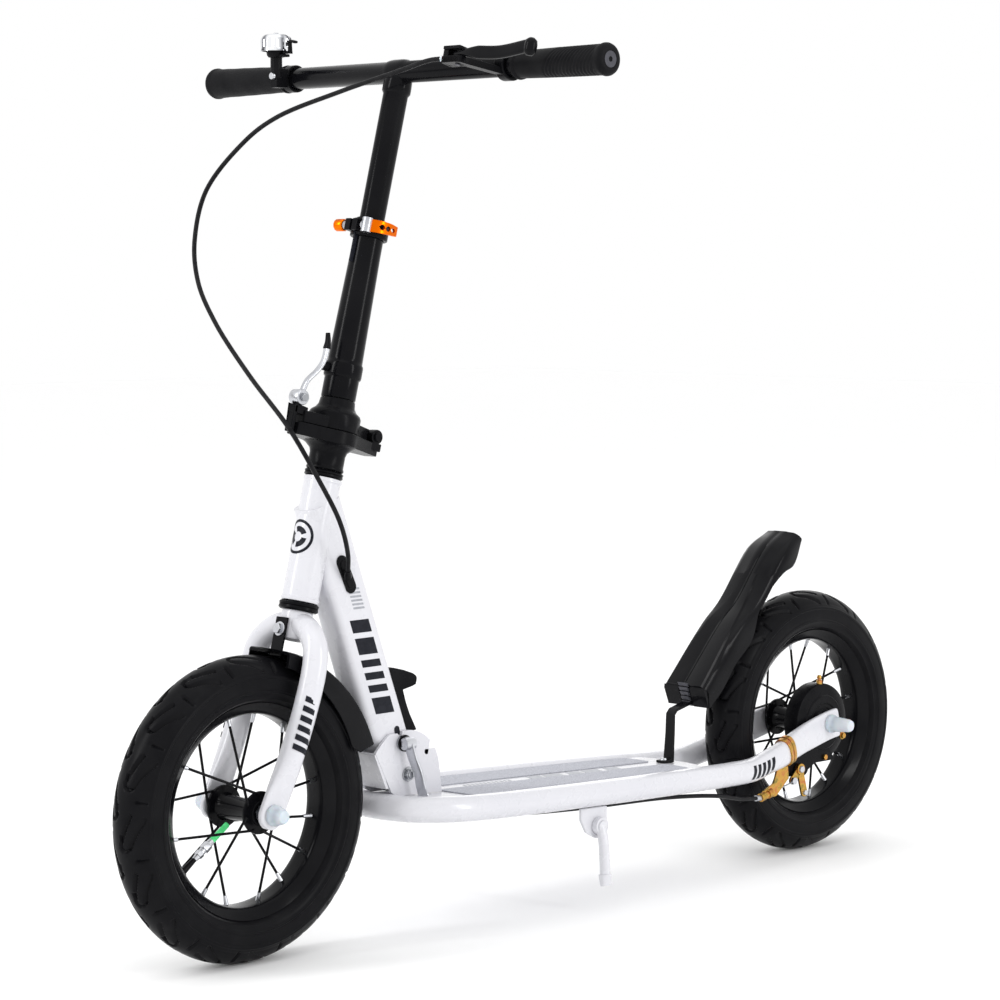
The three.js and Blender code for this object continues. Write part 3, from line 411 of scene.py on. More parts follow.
def arc(middle, radius, start, end, steps=10):
    """Points of an arc, in degrees."""
    angles = [math.radians(start + (end - start) * step / steps) for step in range(steps + 1)]
    return [(middle[0] + radius * math.cos(a), middle[1] + radius * math.sin(a)) for a in angles]


def round_bar(start, end, half, steps=10):
    """Outline of a flat bar with round ends."""
    heading = math.degrees(math.atan2(end[1] - start[1], end[0] - start[0]))
    return arc(end, half, heading - 90, heading + 90, steps) + arc(start, half, heading + 90, heading + 270,
                                                                   steps)


def route(points, per_span=10):
    """Centripetal Catmull-Rom curve through the points."""
    points = [Vector(point) for point in points]
    ends = [2 * points[0] - points[1], *points, 2 * points[-1] - points[-2]]
    curve = []
    for span in range(len(points) - 1):
        p0, p1, p2, p3 = ends[span : span + 4]
        t0, t1, t2 = [max((b - a).length, 1e-6) ** 0.5 for a, b in ((p0, p1), (p1, p2), (p2, p3))]
        m1 = ((p1 - p0) / t0 - (p2 - p0) / (t0 + t1) + (p2 - p1) / t1) * t1
        m2 = ((p2 - p1) / t1 - (p3 - p1) / (t1 + t2) + (p3 - p2) / t2) * t1
        for step in range(per_span):
            t = step / per_span
            curve.append(
                p1 * (2 * t**3 - 3 * t**2 + 1)
                + m1 * (t**3 - 2 * t**2 + t)
                + p2 * (3 * t**2 - 2 * t**3)
                + m2 * (t**3 - t**2)
            )
    return [*curve, points[-1]]


def bent_bar(path, section, side=(0, 0, 1), sides=24):
    """Bar along a path. section(point, share) gives (half width, half height, squareness 0 to 1)."""
    side = Vector(side)
    loops = []
    for index, point in enumerate(path):
        along = heading_at(path, index)
        across = along.cross(side).normalized()
        upward = along.cross(across)
        half_width, half_height, square = section(point, index / (len(path) - 1))
        power = 1 - 0.6 * square
        loop = []
        for step in range(sides):
            angle = 2 * math.pi * step / sides
            a, b = math.cos(angle), math.sin(angle)
            loop.append(
                point
                + across * half_width * math.copysign(abs(a) ** power, a)
                + upward * half_height * math.copysign(abs(b) ** power, b)
            )
        loops.append(loop)
    return rings(loops)


def round_tube(path, radius, side=(0, 0, 1), sides=20):
    return bent_bar(path, lambda point, share: (radius, radius, 0), side, sides)


# ---------------------------------------------------------------- pieces

SHARP_ANGLE = math.radians(38)


def piece(name, shells, material, body, replaces=(), bevel=0.0, segments=2):
    """A mesh object in metres from shells in mm, riding on a body unless that is None."""
    built = bmesh.new()
    for corners, faces in shells:
        made = [built.verts.new(Vector(corner) / METRE) for corner in corners]
        for face in faces:
            built.faces.new([made[index] for index in face])
    bmesh.ops.remove_doubles(built, verts=built.verts, dist=2e-6)
    bmesh.ops.dissolve_degenerate(built, dist=1e-6, edges=built.edges)
    bmesh.ops.recalc_face_normals(built, faces=built.faces)
    for face in built.faces:
        face.smooth = True
    for edge in built.edges:
        edge.smooth = edge.is_manifold and edge.calc_face_angle() < SHARP_ANGLE
    mesh = bpy.data.meshes.new(name)
    built.to_mesh(mesh)
    built.free()
    made = bpy.data.objects.new(name, mesh)
    bpy.context.scene.collection.objects.link(made)
    mesh.materials.append(material)
    if bevel:
        modifier = made.modifiers.new("edges", "BEVEL")
        modifier.width = bevel / METRE
        modifier.segments = segments
        modifier.limit_method = "ANGLE"
        modifier.angle_limit = SHARP_ANGLE
        modifier.harden_normals = True
    if body:
        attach(made, body)
    if replaces:
        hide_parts(*replaces)
    return made


def hex_head(start, end, radius):
    return rod(start, end, radius, sides=6)


def cross_rod(place, start, end, radius, end_radius=None, sides=28):
    """Rod square to the side of the scooter at an (x, z) place, from one y to another."""
    x, z = place
    return rod((x, start, z), (x, end, z), radius, end_radius, sides)


def cross_sleeve(place, start, end, inner, outer, segments=64):
    """Short sleeve or washer square to the side of the scooter at an (x, z) place."""
    x, z = place
    return lathe([(inner, start), (outer, start), (outer, end), (inner, end)], (x, 0, z), "Y", segments)


# ---------------------------------------------------------------- deck frame

RAIL_POINTS = [
    (x, y, RAIL_HEIGHT + RAIL_SLOPE * x)
    for x, y in [(250, -20), (252, 0), (250, 20), (241, 43), (222, 60), (195, 71), (160, 76), (80, 77),
                 (0, 75),
                 (-60, 73.5), (-120, 70), (-180, 65.5)]
] + [(-230, 60, 115.5), (-280, 54.5, 115), (-306, 52, 119.6), (-333, 50, 125), (-350, 48, 130),
     (-381, 45.3, 138.5), (-425, 44, 148.5), (-441, 44, 151)]
RAIL_RADIUS = 13.5
STAY_START_X, STAY_END_X = -306, -398
STAY_TIP_X = low("deck_rail_left")[0] + 0.5
STAY_HALF_HEIGHT = 16.7


def rail_section(point, _share):
    pressed = clamp((STAY_START_X - point.x) / (STAY_START_X - STAY_END_X))
    half_height = lerp(RAIL_RADIUS, STAY_HALF_HEIGHT, pressed)
    return lerp(RAIL_RADIUS, 4.0, pressed), half_height, 0.8 * pressed


def rail_path():
    half = route(RAIL_POINTS[1:], 12)
    tip = half[-1]
    reach = (tip - half[-13]).normalized()
    half = [point for point in half if point.x > STAY_TIP_X + 1] + [tip + reach * 0.5]
    other = [Vector((point.x, -point.y, point.z)) for point in reversed(half[1:])]
    return other + half


def build_deck():
    piece("deck_frame", [bent_bar(rail_path(), rail_section, sides=28)], WHITE, "deck",
          ["deck_rail_left", "deck_rail_right"])
    inset = 11.6
    edge = []
    path = [point for point in route(RAIL_POINTS[1:13], 8) if point.x > -203]
    for index, point in enumerate(path):
        before, after = path[max(index - 1, 0)], path[min(index + 1, len(path) - 1)]
        heading = Vector((after.x - before.x, after.y - before.y)).normalized()
        edge.append((point.x - heading.y * inset, point.y + heading.x * inset))
    edge = [(x, y) for x, y in edge if y > 1]
    tail = [(-203, 52), (-207, 40), (-213, 26), (-216, 12)]
    left = edge + tail
    corners = left + [(x, -y) for x, y in reversed(left)]
    sheet = placed(plate(corners, DECK_TOP - 2.8, DECK_TOP, "XY"), ON_DECK)
    piece("deck_sheet", [sheet], WHITE, "deck", ["deck_plate"], bevel=0.8)
    build_grip_tape("deck_tape_left", "deck_grip_left", 1)
    build_grip_tape("deck_tape_right", "deck_grip_right", -1)


def build_grip_tape(name, node, side):
    outline = (arc((-176, 16), 4, 180, 270, 4) + arc((166, 16), 5, -90, -10, 4) + arc((160, 54.5), 5, 10,
                                                                                      90, 4)
               + [(-120, 54.5)] + arc((-173, 44.5), 5, 90, 175, 4))
    outline = [(x, y * side) for x, y in outline]
    strip = placed(plate(outline, DECK_TOP + 0.1, DECK_TOP + 1.3, "XY"), ON_DECK)
    piece(name, [strip], TAPE, "deck", [node], bevel=0.3)


# ---------------------------------------------------------------- deck hinge and kickstand


def build_hinge():
    px, pz = FOLD_PIVOT.x, FOLD_PIVOT.z
    at = lambda points: [(px + x, pz + z) for x, z in points]
    locked = math.degrees(math.atan2(FOLD_AXLE[1] - pz, FOLD_AXLE[0] - px))
    orbit = math.hypot(FOLD_AXLE[1] - pz, FOLD_AXLE[0] - px)

    def notch(angle, flare=0.0, half=3.6):
        """Open notch in the rim of the cheek, its floor round the axle's place."""
        turn = math.radians(angle)
        out, tangent = Vector((math.cos(turn), math.sin(turn))), Vector((-math.sin(turn), math.cos(turn)))
        floor = [out * orbit + (out * math.cos(a) + tangent * math.sin(a)) * half
                 for a in [math.radians(180 + 15 * step) for step in range(-6, 7)]]
        mouth = 45.0
        points = [out * mouth - tangent * (half + flare), *floor, out * mouth + tangent * (half + flare)]
        return [(point.x, point.y) for point in points]

    rim = 45
    corners = [(-48.6, -23.6), (14, -21.3), (22, -17), (44, 25.5), (36, 34), (24.5, 43)]
    top = arc((0, 0), rim, locked + 6, locked + 57, 12)
    rear = arc((0, 0), rim, locked + 75, 171, 6)
    outline = corners + notch(locked) + top + notch(locked + 65.5, 2.6) + rear
    cheeks = [plate(at(outline), 17.6, 21.6)]
    cheeks.append(flipped(cheeks[0]))
    web = plate(at([(25.5, -12), (29, -12.5), (45, 24), (41.5, 25.5)]), -21, 21)
    piece("hinge_cheeks", [*cheeks, web], WHITE, "deck", ["hinge_bracket"], bevel=1.2,
          segments=3)
    middle = (px, pz)
    bolt = [cross_sleeve(middle, 21.9, 23.2, 0, 7.6), cross_rod(middle, 23.2, 27, 5.8, sides=6),
            cross_rod(middle, 27, 28.3, 4.2, 3.4)]
    bolt += [flipped(shell) for shell in bolt]
    bolt.append(cross_rod(middle, -24, 24, 4.8))
    piece("hinge_bolt", bolt, STEEL, "deck", ["hinge_pivot_bolt"], bevel=0.5)


def build_kickstand():
    bracket = [(22, 110.2), (22, 98), (14, 84), *arc((-4, 88), 12, 290, 170, 6), (-18, 95), (-18, 109)]
    x, z = -3, 90
    pin = [cross_rod((x, z), 70, 84, 4), cross_rod((x, z), 82.8, 84.5, 6.5, 5.8)]
    piece("stand_bracket", [plate(bracket, 71.6, 75.1), *pin], WHITE, "deck",
          ["kickstand_bracket"],
          bevel=0.7)
    leg = bent_bar(route([(x, 79, z + 1), (x + 1, 84, z - 12), (x + 2, 87, z - 30),
                          (x + 3.2, 89.4, z - 53)], 8),
                   lambda point, share: (5.6, 5.6, 0), (0, 1, 0))
    foot = bent_bar(route([(x + 3.1, 89.2, z - 50), (x + 3.4, 90, z - 57), (x + 3.6, 91, z - 62)], 5),
                    lambda point, share: (6.8, 6.8 - 2.5 * share, 0.2), (0, 1, 0))
    eye = cross_sleeve((x, z), 75.5, 82.6, 4.4, 9.2, 40)
    piece("stand_leg", [leg, foot, eye], WHITE, "kickstand", ["kickstand_leg"], bevel=0.5)


# ---------------------------------------------------------------- wheels

LUGS = 16
TREAD_EDGE = 24.0


def groove(distance, half_width):
    """Depth share of a groove at a distance in mm from its middle."""
    return clamp(1.6 * (1 - abs(distance) / half_width))


def tread_cut(angle, y):
    """0 on top of a lug, 1 in a groove, for a place round the tyre and y mm across it."""
    pitch = 2 * math.pi * WHEEL_RADIUS / LUGS
    offset = 0.5 if y > 0 else 0.0
    along = ((angle * LUGS / (2 * math.pi) + offset) % 1.0 - 0.5) * pitch
    out = abs(y)
    tilt = math.radians(20)
    run = along * math.cos(tilt) + (out - 13.5) * math.sin(tilt)
    rise = (out - 13.5) * math.cos(tilt) - along * math.sin(tilt)
    hook = math.hypot(max(abs(run) - 17, 0), rise) - 5.0
    loop = groove(hook, 2.0) if run < 14 else 0.0
    dash = groove(math.hypot(max(abs(along + 12) - 5, 0), out - 3.2), 1.9)
    notch = groove(math.hypot(along - 27, max(abs(out - 19) - 4, 0)), 2.0)
    return max(loop, dash, notch)


def build_tyre(name, node, wheel, body):
    """Round casing with cut tread, bead and raised lines on the sidewall."""
    half = 26.6
    middle = 124.6
    tread = []
    steps = 44
    for step in range(steps + 1):
        turn = math.radians(-62 + 124 * step / steps)
        tread.append((middle + (WHEEL_RADIUS - middle) * math.cos(turn), half * math.sin(turn), True))
    left_wall = [(136.4, 24.6), (134.6, 25.2), (133.8, 26.2), (131.6, 26.6), (130.8, 26.1), (124, 27.0),
                 (119.6, 26.7), (118.8, 27.4), (117.2, 27.2), (116.6, 26.4), (111.5, 24.4), (110.8, 24.6),
                 (109.6, 23.6), (108.0, 20.4), (106.6, 18.6), (104, 16.4), (100.5, 11.5)]
    lining = [(100.5, -9), (120, -22), (144, -9), (144, 9), (120, 22), (100.5, 9)]
    loop = ([(radius, -y, False) for radius, y in reversed(left_wall)] + tread
            + [(radius, y, False) for radius, y in left_wall] + [(radius, -y, False) for radius, y in lining])
    segments = LUGS * 44
    depth = 3.0
    loops = []
    for step in range(segments):
        angle = 2 * math.pi * step / segments
        ring = []
        for radius, y, cut in loop:
            if cut:
                radius -= depth * tread_cut(angle, y) * clamp((TREAD_EDGE - abs(y)) / 1.5)
            ring.append(Vector((wheel[0] + radius * math.cos(angle), y, wheel[2] + radius * math.sin(angle))))
        loops.append(ring)
    piece(name, [rings(loops, closed_rings=True)], TYRE, body, [node])


def build_rim(name, node, wheel, body):
    section = [(95, -11), (94.6, -6), (94.4, 0), (94.6, 6), (95, 11), (96.5, 13.2), (100, 15.6), (104, 18.4),
               (106.6, 20), (107.2, 19.2), (106.4, 17.4), (99, 10), (98.5, -10), (106.4, -17.4),
               (107.2, -19.2),
               (106.6, -20), (104, -18.4), (100, -15.6), (96.5, -13.2)]
    piece(name, [lathe(section, wheel, "Y", 128)], BLACK, body, [node])


def build_hub(name, node, wheel, body, ends, flanges):
    right, left = ends
    right_flange, left_flange = flanges
    shell = lathe(
        [(9.5, right), (12.2, right), (13, right + 0.8), (15, right_flange - 2.2), (21, right_flange - 1.5),
         (21.3, right_flange), (21, right_flange + 1.5), (14, right_flange + 3), (12, right_flange + 8),
         (11.6, (right_flange + left_flange) / 2), (12, left_flange - 8), (14, left_flange - 3),
         (21, left_flange - 1.5), (21.3, left_flange), (21, left_flange + 1.5), (12.8, left_flange + 2.1),
         (12.8, left - 0.8), (12.2, left), (9.5, left)], segments=64)
    spokes, nipples = [], []
    count = 16
    for index in range(count):
        rim_angle = (index + 0.5) / count * 2 * math.pi
        foot_angle = rim_angle + math.radians(50 if index % 4 < 2 else -50)
        flange = left_flange if index % 2 else right_flange
        side = math.copysign(1, flange)
        foot = Vector((18.4 * math.cos(foot_angle), 18.4 * math.sin(foot_angle), flange + 2.2 * side))
        tip = Vector((94.2 * math.cos(rim_angle), 94.2 * math.sin(rim_angle), 2 * side))
        knee = foot.lerp(tip, 0.04)
        spokes.append(rod(knee, tip, 1.4, sides=10))
        spokes.append(rod(foot - Vector((0, 0, 4.4 * side)), foot + Vector((0, 0, 0.4 * side)), 1.9,
                          sides=10))
        spokes.append(rod(foot, knee, 1.4, sides=10))
        nipples.append(rod(tip.lerp(foot, 0.10), tip.lerp(foot, -0.004), 2.0, 2.4, sides=10))
    turn = Matrix.Translation(wheel) @ Matrix.Rotation(math.pi / 2, 4, "X")
    mirror = Matrix.Diagonal((1, 1, -1, 1))
    piece(name, [placed(item, turn @ mirror) for item in [shell, *spokes]], BLACK, body,
          [node],
          bevel=0.25, segments=1)
    piece(name + "_nipples", [placed(item, turn @ mirror) for item in nipples], SATIN, body)


def build_axle(name, node, wheel, body):
    place = (wheel[0], wheel[2])
    shells = [cross_rod(place, -57, 57, 4.7)]
    for side in (1, -1):
        shells.append(cross_rod(place, 50 * side, 56 * side, 7.4, sides=6))
        shells.append(cross_rod(place, 48.4 * side, 50.2 * side, 7.6))
    piece(name, shells, STEEL, body, [node], bevel=0.5)


def build_cap(node, wheel, body, side):
    """Milky push-on cap over an axle nut, with a stepped rim."""
    base, tip = 48.6, high(node)[1] if side > 0 else -low(node)[1]
    profile = [(0, tip), (3.8, tip - 0.3), (6.2, tip - 1.4), (7.4, tip - 4), (8.7, base + 9),
               (9.1, base + 5.4),
               (10.3, base + 4), (10.6, base + 2.4), (10.4, base), (8.1, base), (7.9, base + 11),
               (0, base + 11)]
    shell = lathe(profile, wheel, "Y", 48)
    piece(node + "_shell", [shell if side > 0 else flipped(shell)], CLEAR, body, [node])


def build_valve():
    """Air valve on the front rim, between two spokes."""
    angle = math.radians(-35)
    out = Vector((math.cos(angle), 0, math.sin(angle)))
    hub = Vector(FRONT)
    at = lambda radius: hub + out * radius
    piece("valve_stem", [rod(at(96), at(72), 3.8, 2.4), rod(at(95.6), at(91), 6, 5)], PLASTIC, "front_wheel")
    nut = [rod(at(73), at(68), 2.6, 3.4), rod(at(68), at(63), 4.4, 4.6, 6), rod(at(63), at(59), 3.6),
           rod(at(59), at(51), 5.2, 4.8, 6), rod(at(51), at(46), 3.8, 3.2)]
    piece("valve_core", nut, SATIN, "front_wheel", bevel=0.3)
    piece("valve_cap", [rod(at(46.6), at(22), 3.2, 2.9, sides=12)], GREEN, "front_wheel",
          bevel=0.4)


def build_wheels():
    for wheel, body, prefix, ends, flanges in (
        (FRONT, "front_wheel", "front", (-32, 32), (-27, 27)),
        (REAR, "rear_wheel", "rear", (-37, 34), (-32, 8.5)),
    ):
        build_tyre(prefix + "_casing", prefix + "_tyre", wheel, body)
        build_rim(prefix + "_rim_ring", prefix + "_rim", wheel, body)
        build_hub(prefix + "_hub_laced", prefix + "_hub", wheel, body, ends, flanges)
    build_axle("front_axle_nuts", "front_axle", FRONT, "fork")
    build_axle("rear_axle_nuts", "rear_axle", REAR, "deck")
    for side, word in ((1, "left"), (-1, "right")):
        build_cap("front_axle_cap_" + word, FRONT, "fork", side)
        build_cap("rear_axle_cap_" + word, REAR, "deck", side)
    build_valve()


# ---------------------------------------------------------------- rear brake


def build_brake():
    drum = [(13.4, 10.8), (34, 10.8), (35.6, 12), (35.8, 33), (33.2, 33), (33, 14), (13.4, 14)]
    piece("drum_shell", [lathe(drum, REAR, "Y", 96)], BLACK, "rear_wheel", ["rear_brake_drum"])
    face = 39.3
    dish = [(5.4, face), (15, face), (16, face - 1.4), (22, face - 1.4), (23, face - 0.2), (31, face - 0.2),
            (32.4, face - 2), (38, face - 2.4), (44.4, face - 4.5), (45.2, face - 7), (45.2, 16), (42.8, 16),
            (42.8, face - 6), (38, face - 4), (5.4, face - 3)]
    arm = [(-356, 129), (-356, 96), *arc((-388, 103), 10, 270, 200, 4), (-410, 106), (-445, 106), (-425, 140),
           (-392, 153)]
    piece("brake_dish", [lathe(dish, REAR, "Y", 96), plate(arm, 35.8, 38.2)], PLASTIC, "deck",
          ["brake_cover"], bevel=0.5)
    bolts = []
    bolt_circle = 40.5
    for turn, reach in ((-92, 5), (-152, 4)):
        x = REAR[0] + bolt_circle * math.cos(math.radians(turn))
        z = REAR[2] + bolt_circle * math.sin(math.radians(turn))
        bolts += [cross_rod((x, z), 35, 36 + reach, 3.4, sides=6), cross_rod((x, z), 34, 37.4, 4.8, 4.6)]
    x, z = REAR[0], REAR[2] + 44
    bolts += [rod((x, 31, z), (x, 31, z + 5), 3.4), rod((x, 31, z + 5), (x, 31, z + 7.5), 2.2),
              rod((x, 31, z + 7.5), (x, 31, z + 11), 3.2, 2.0)]
    piece("brake_bolts", bolts, GOLD, "deck", bevel=0.3)
    path = rail_path()
    bands = []
    for start, end in ((-338.6, -343.6), (-345.6, -350.6)):
        span = [point for point in path if point.y > 0 and start + 0.6 > point.x > end - 3]
        first, last = span[0], span[-1]
        ends = [first.lerp(last, clamp((x - first.x) / (last.x - first.x))) for x in (start, end)]

        def band_section(point, share):
            width, height, square = rail_section(point, share)
            return width + 1.9, height + 1.9, square

        bands.append(bent_bar([ends[0].lerp(ends[1], step / 3) for step in range(4)], band_section, sides=32))
    piece("stay_straps", bands, GOLD, "deck", ["brake_stay_clamp"], bevel=0.5)
    bracket = [(-350, 110), (-352, 96), (-330, 78), (-308, 76), (-308, 86), (-326, 93), (-332, 110)]
    front, rear = Vector((-303, 46, 79)), Vector((-322, 46, 83))
    barrel = [rod(rear, front, 4.2), rod(rear, rear.lerp(front, 0.35), 5.4),
              rod(rear.lerp(front, 0.6), front, 5)]
    piece("cable_stop", [plate(bracket, 44.5, 47.2), *barrel], GOLD, "deck",
          ["brake_cable_anchor"],
          bevel=0.4)
    inner, outer = 40.4, 43.3
    pivot, spring_end, wire_end = (-377, 103), (-385, 75), (-364, 91)
    arm_shells = [plate(round_bar(pivot, spring_end, 5), inner, outer),
                  plate(round_bar(pivot, wire_end, 4.5), inner, outer), cross_rod(pivot, 39.7, 45, 6.5)]
    piece("brake_lever_arm", arm_shells, GOLD, "brake_arm", ["brake_arm"], bevel=0.5)
    pinch = [cross_rod(wire_end, 43, 46.6, 4.6, sides=6), cross_rod(pivot, 45, 47, 4.2, 3.6),
             cross_rod(spring_end, 43, 45.6, 3.2, 2.8)]
    piece("brake_arm_bolts", pinch, SATIN, "brake_arm", bevel=0.3)
    wire = [rod(rear, (-362, 45, 90), 0.9, sides=8)]
    piece("brake_wire", wire, STEEL, "deck")


# ---------------------------------------------------------------- mudguards

GUARD_RIDGE = [(-223, 212), (-284, 277), (-312, 300), (-362, 358), (-390, 375)]
GUARD_SKIRT = [(-398, 366), (-380, 338), (-359, 330), (-319, 294), (-305, 258), (-276, 232), (-254, 205),
               (-232, 187)]
GUARD_HALF = 31.0


def guard_panel(share):
    """Half width of the raised middle panels at a share of the ridge, 0 at the front end."""
    return lerp(26.0, 10.0, clamp(share / 0.60) ** 1.3)


def build_rear_mudguard():
    """Roofed blade: two raised panels beside a groove, sloped shoulders, deep skirts, closed front lip."""
    half, wall = GUARD_HALF, 2.6
    crown = route([(x, 0, z) for x, z in GUARD_RIDGE], 8)
    skirt = route([(x, 0, z) for x, z in reversed(GUARD_SKIRT)], 5)
    inward = Vector((-1, 0, -1)).normalized()

    def edge_below(share):
        place = share * (len(skirt) - 1)
        index = min(int(place), len(skirt) - 2)
        return skirt[index].lerp(skirt[index + 1], place - index)

    loops = []
    for index, top in enumerate(crown):
        share = index / (len(crown) - 1)
        down = edge_below(share) - top
        wide = half - 5.5 * clamp((share - 0.72) / 0.28) ** 1.5
        panel = guard_panel(share)
        raised = clamp((0.64 - share) / 0.06)
        groove = 2.4 * clamp((0.80 - share) / 0.1)
        across = [(0, groove), (1.4, 0.2), (2.0, 0.0), (panel - 0.8, 0.0), (panel + 0.6, 0.6 + 1.6 * raised),
                  (lerp(panel, wide, 0.6), 1.4 + 1.6 * raised), (wide - 2.4, 4.2), (wide - 0.6, 7.0),
                  (wide, 11.0)]
        right = [Vector((top.x, y, top.z)) + inward * depth for y, depth in across]
        right += [Vector((top.x, wide, top.z)) + inward * 11.0 * (1 - drop) + down * drop for drop in (0.45,
                                                                                                       0.8,
                                                                                                       1.0)]
        left = [Vector((point.x, -point.y, point.z)) for point in right[1:]]
        outer = list(reversed(right)) + left
        inner = []
        for point in reversed(outer):
            near_edge = abs(point.y) > wide - 1
            inner.append(Vector((point.x, point.y * (1 - wall / half),
                                 point.z)) + inward * (0.3 if near_edge else wall))
        loops.append(outer + inner)
    lip_top, lip_foot = crown[0], Vector((GUARD_SKIRT[-1][0], 0, GUARD_SKIRT[-1][1]))
    lips = []
    for y0, y1, bulge in ((-half + 0.8, -8.5, 0.6), (8.5, half - 0.8, 0.6), (-9, 9, -1.2)):
        front = Vector((bulge, 0, 0))
        profile = [lip_top + inward * 2.6 + front, lip_top.lerp(lip_foot, 0.25) + front + Vector((0.8, 0, 0)),
                   lip_foot + front, lip_foot + Vector((-4, 0, 1)), lip_top + inward * 6]
        lips.append(rings([[Vector((p.x, y, p.z)) for p in profile] for y in (y0, y1)]))
    piece("rear_guard", [rings(loops), *lips], GUARD, "deck", ["rear_mudguard"], bevel=0.5)
    tongue = []
    ribs = 5
    for index in range(ribs):
        here = (lip_top + Vector((1.5, 0, 2.6))).lerp(lip_foot + Vector((2.6, 0, 1)), (index + 0.1) / ribs)
        there = (lip_top + Vector((1.5, 0, 2.6))).lerp(lip_foot + Vector((2.6, 0, 1)), (index + 0.86) / ribs)
        half_width = 6.6 - 0.3 * index
        out = Vector((2.4, 0, 0.8))
        loop = [here - out, there - out, there + out * 0.4, here + out]
        tongue.append(rings([[Vector((p.x, y, p.z)) for p in loop] for y in (-half_width, half_width)]))
    piece("guard_tongue", tongue, SATIN_BLACK, "deck", bevel=0.5)
    build_strut()


def build_strut():
    top = DECK_TOP + GAP
    deck_at = lambda x: RAIL_HEIGHT + RAIL_SLOPE * x + top
    bar = plate([(-198, deck_at(-198)), (-184, deck_at(-184)), (-184, deck_at(-184) + 3),
                 (-196, deck_at(-196) + 4),
                 (-199, 160), (-200, 181), (-205, 186.5), (-231, 193), (-247, 215), (-249.6, 213.4),
                 (-232.6, 189.8), (-206.6, 183.6), (-203, 180), (-202.5, 160), (-201, deck_at(-201))], -6, 6)
    piece("guard_strut", [bar], GUARD, "deck", ["rear_mudguard_strut"], bevel=0.6)
    bolts = [rod((-190, 0, deck_at(-190) + 2.6), (-190, 0, deck_at(-190) + 5.6), 4.4, 3.4)]
    piece("strut_bolt", bolts, STEEL, "deck", bevel=0.3)


def build_front_mudguard():
    """Curved blade with a bowed front edge; its side skirts deepen toward the tail."""
    inner, outer, half, deepest = 155.5, 158.5, 31.0, 26.0
    first, last = 104.0, 161.0
    taper_radius, taper_offset, taper_heading = 135.6, 15.4, 45.0
    loops = []
    steps = 48
    for step in range(steps + 1):
        share = step / steps
        heading = lerp(first, last, share)
        turn = math.radians(heading - taper_heading)
        edge = taper_offset * math.cos(turn)
        edge += math.sqrt(taper_radius**2 - (taper_offset * math.sin(turn)) ** 2)
        foot = max(edge, inner - deepest) + 8 * clamp((share - 0.93) / 0.07)
        section = [(foot, half), (outer - 4, half), (outer - 1.2, half - 1), (outer, half - 3.5),
                   (outer + 0.8, half * 0.6), (outer + 1.2, 0)]
        section += [(radius, -y) for radius, y in reversed(section[:-1])]
        section += [(foot, -half + 2.4), (inner - 1, -half + 2.4), (inner, -half + 5), (inner, half - 5),
                    (inner - 1, half - 2.4), (foot, half - 2.4)]
        loop = []
        for radius, y in section:
            bow = 5.5 * (1 - (y / half) ** 2) * (1 - share) ** 3
            angle = math.radians(heading - bow)
            loop.append(Vector((FRONT[0] + radius * math.cos(angle), y, FRONT[2] + radius * math.sin(angle))))
        loops.append(loop)
    tab = leaning(box(16.5, 19.3, -8, 8, 304, 343))
    piece("front_guard", [rings(loops), tab], GUARD, "fork", ["front_mudguard"], bevel=0.5)
    bolt = [leaning(hex_head((19.4, 0, 331), (24.2, 0, 331), 5.6)),
            leaning(rod((18.9, 0, 331), (20.2, 0, 331), 7.2))]
    piece("guard_bolt", bolt, SATIN, "fork", bevel=0.4)


# ---------------------------------------------------------------- downtube and fold release

RISE = Vector((0.339, 0.0, 0.941))
FORWARD = Vector((0.941, 0.0, -0.339))
TUBE_HALF = 17.0


def rounded_section(rear, front, half, corner, steps=5):
    """Loop of (forward, sideways) corners of a rounded rectangle."""
    corner = min(corner, (front - rear) / 2 - 0.05, half - 0.05)
    loop = []
    for sx, sy, start in ((1, 1, 0), (-1, 1, 90), (-1, -1, 180), (1, -1, 270)):
        cx = front - corner if sx > 0 else rear + corner
        cy = sy * (half - corner)
        loop += arc((cx, cy), corner, start, start + 90, steps)
    return loop


def tube_span(along):
    """Rear and front edges of the downtube at a place along it."""
    foot = 20.5
    if along < 0:
        reach = math.sqrt(max(0.5, foot**2 - along**2))
        return -reach, reach
    rear = lerp(-foot, -22, clamp(along / 20)) + 3 * clamp((along - 20) / 292)
    front = lerp(foot, 21, clamp(along / 34)) + 8 * clamp((along - 34) / 28) - 7 * clamp((along - 226) / 36)
    return rear, front


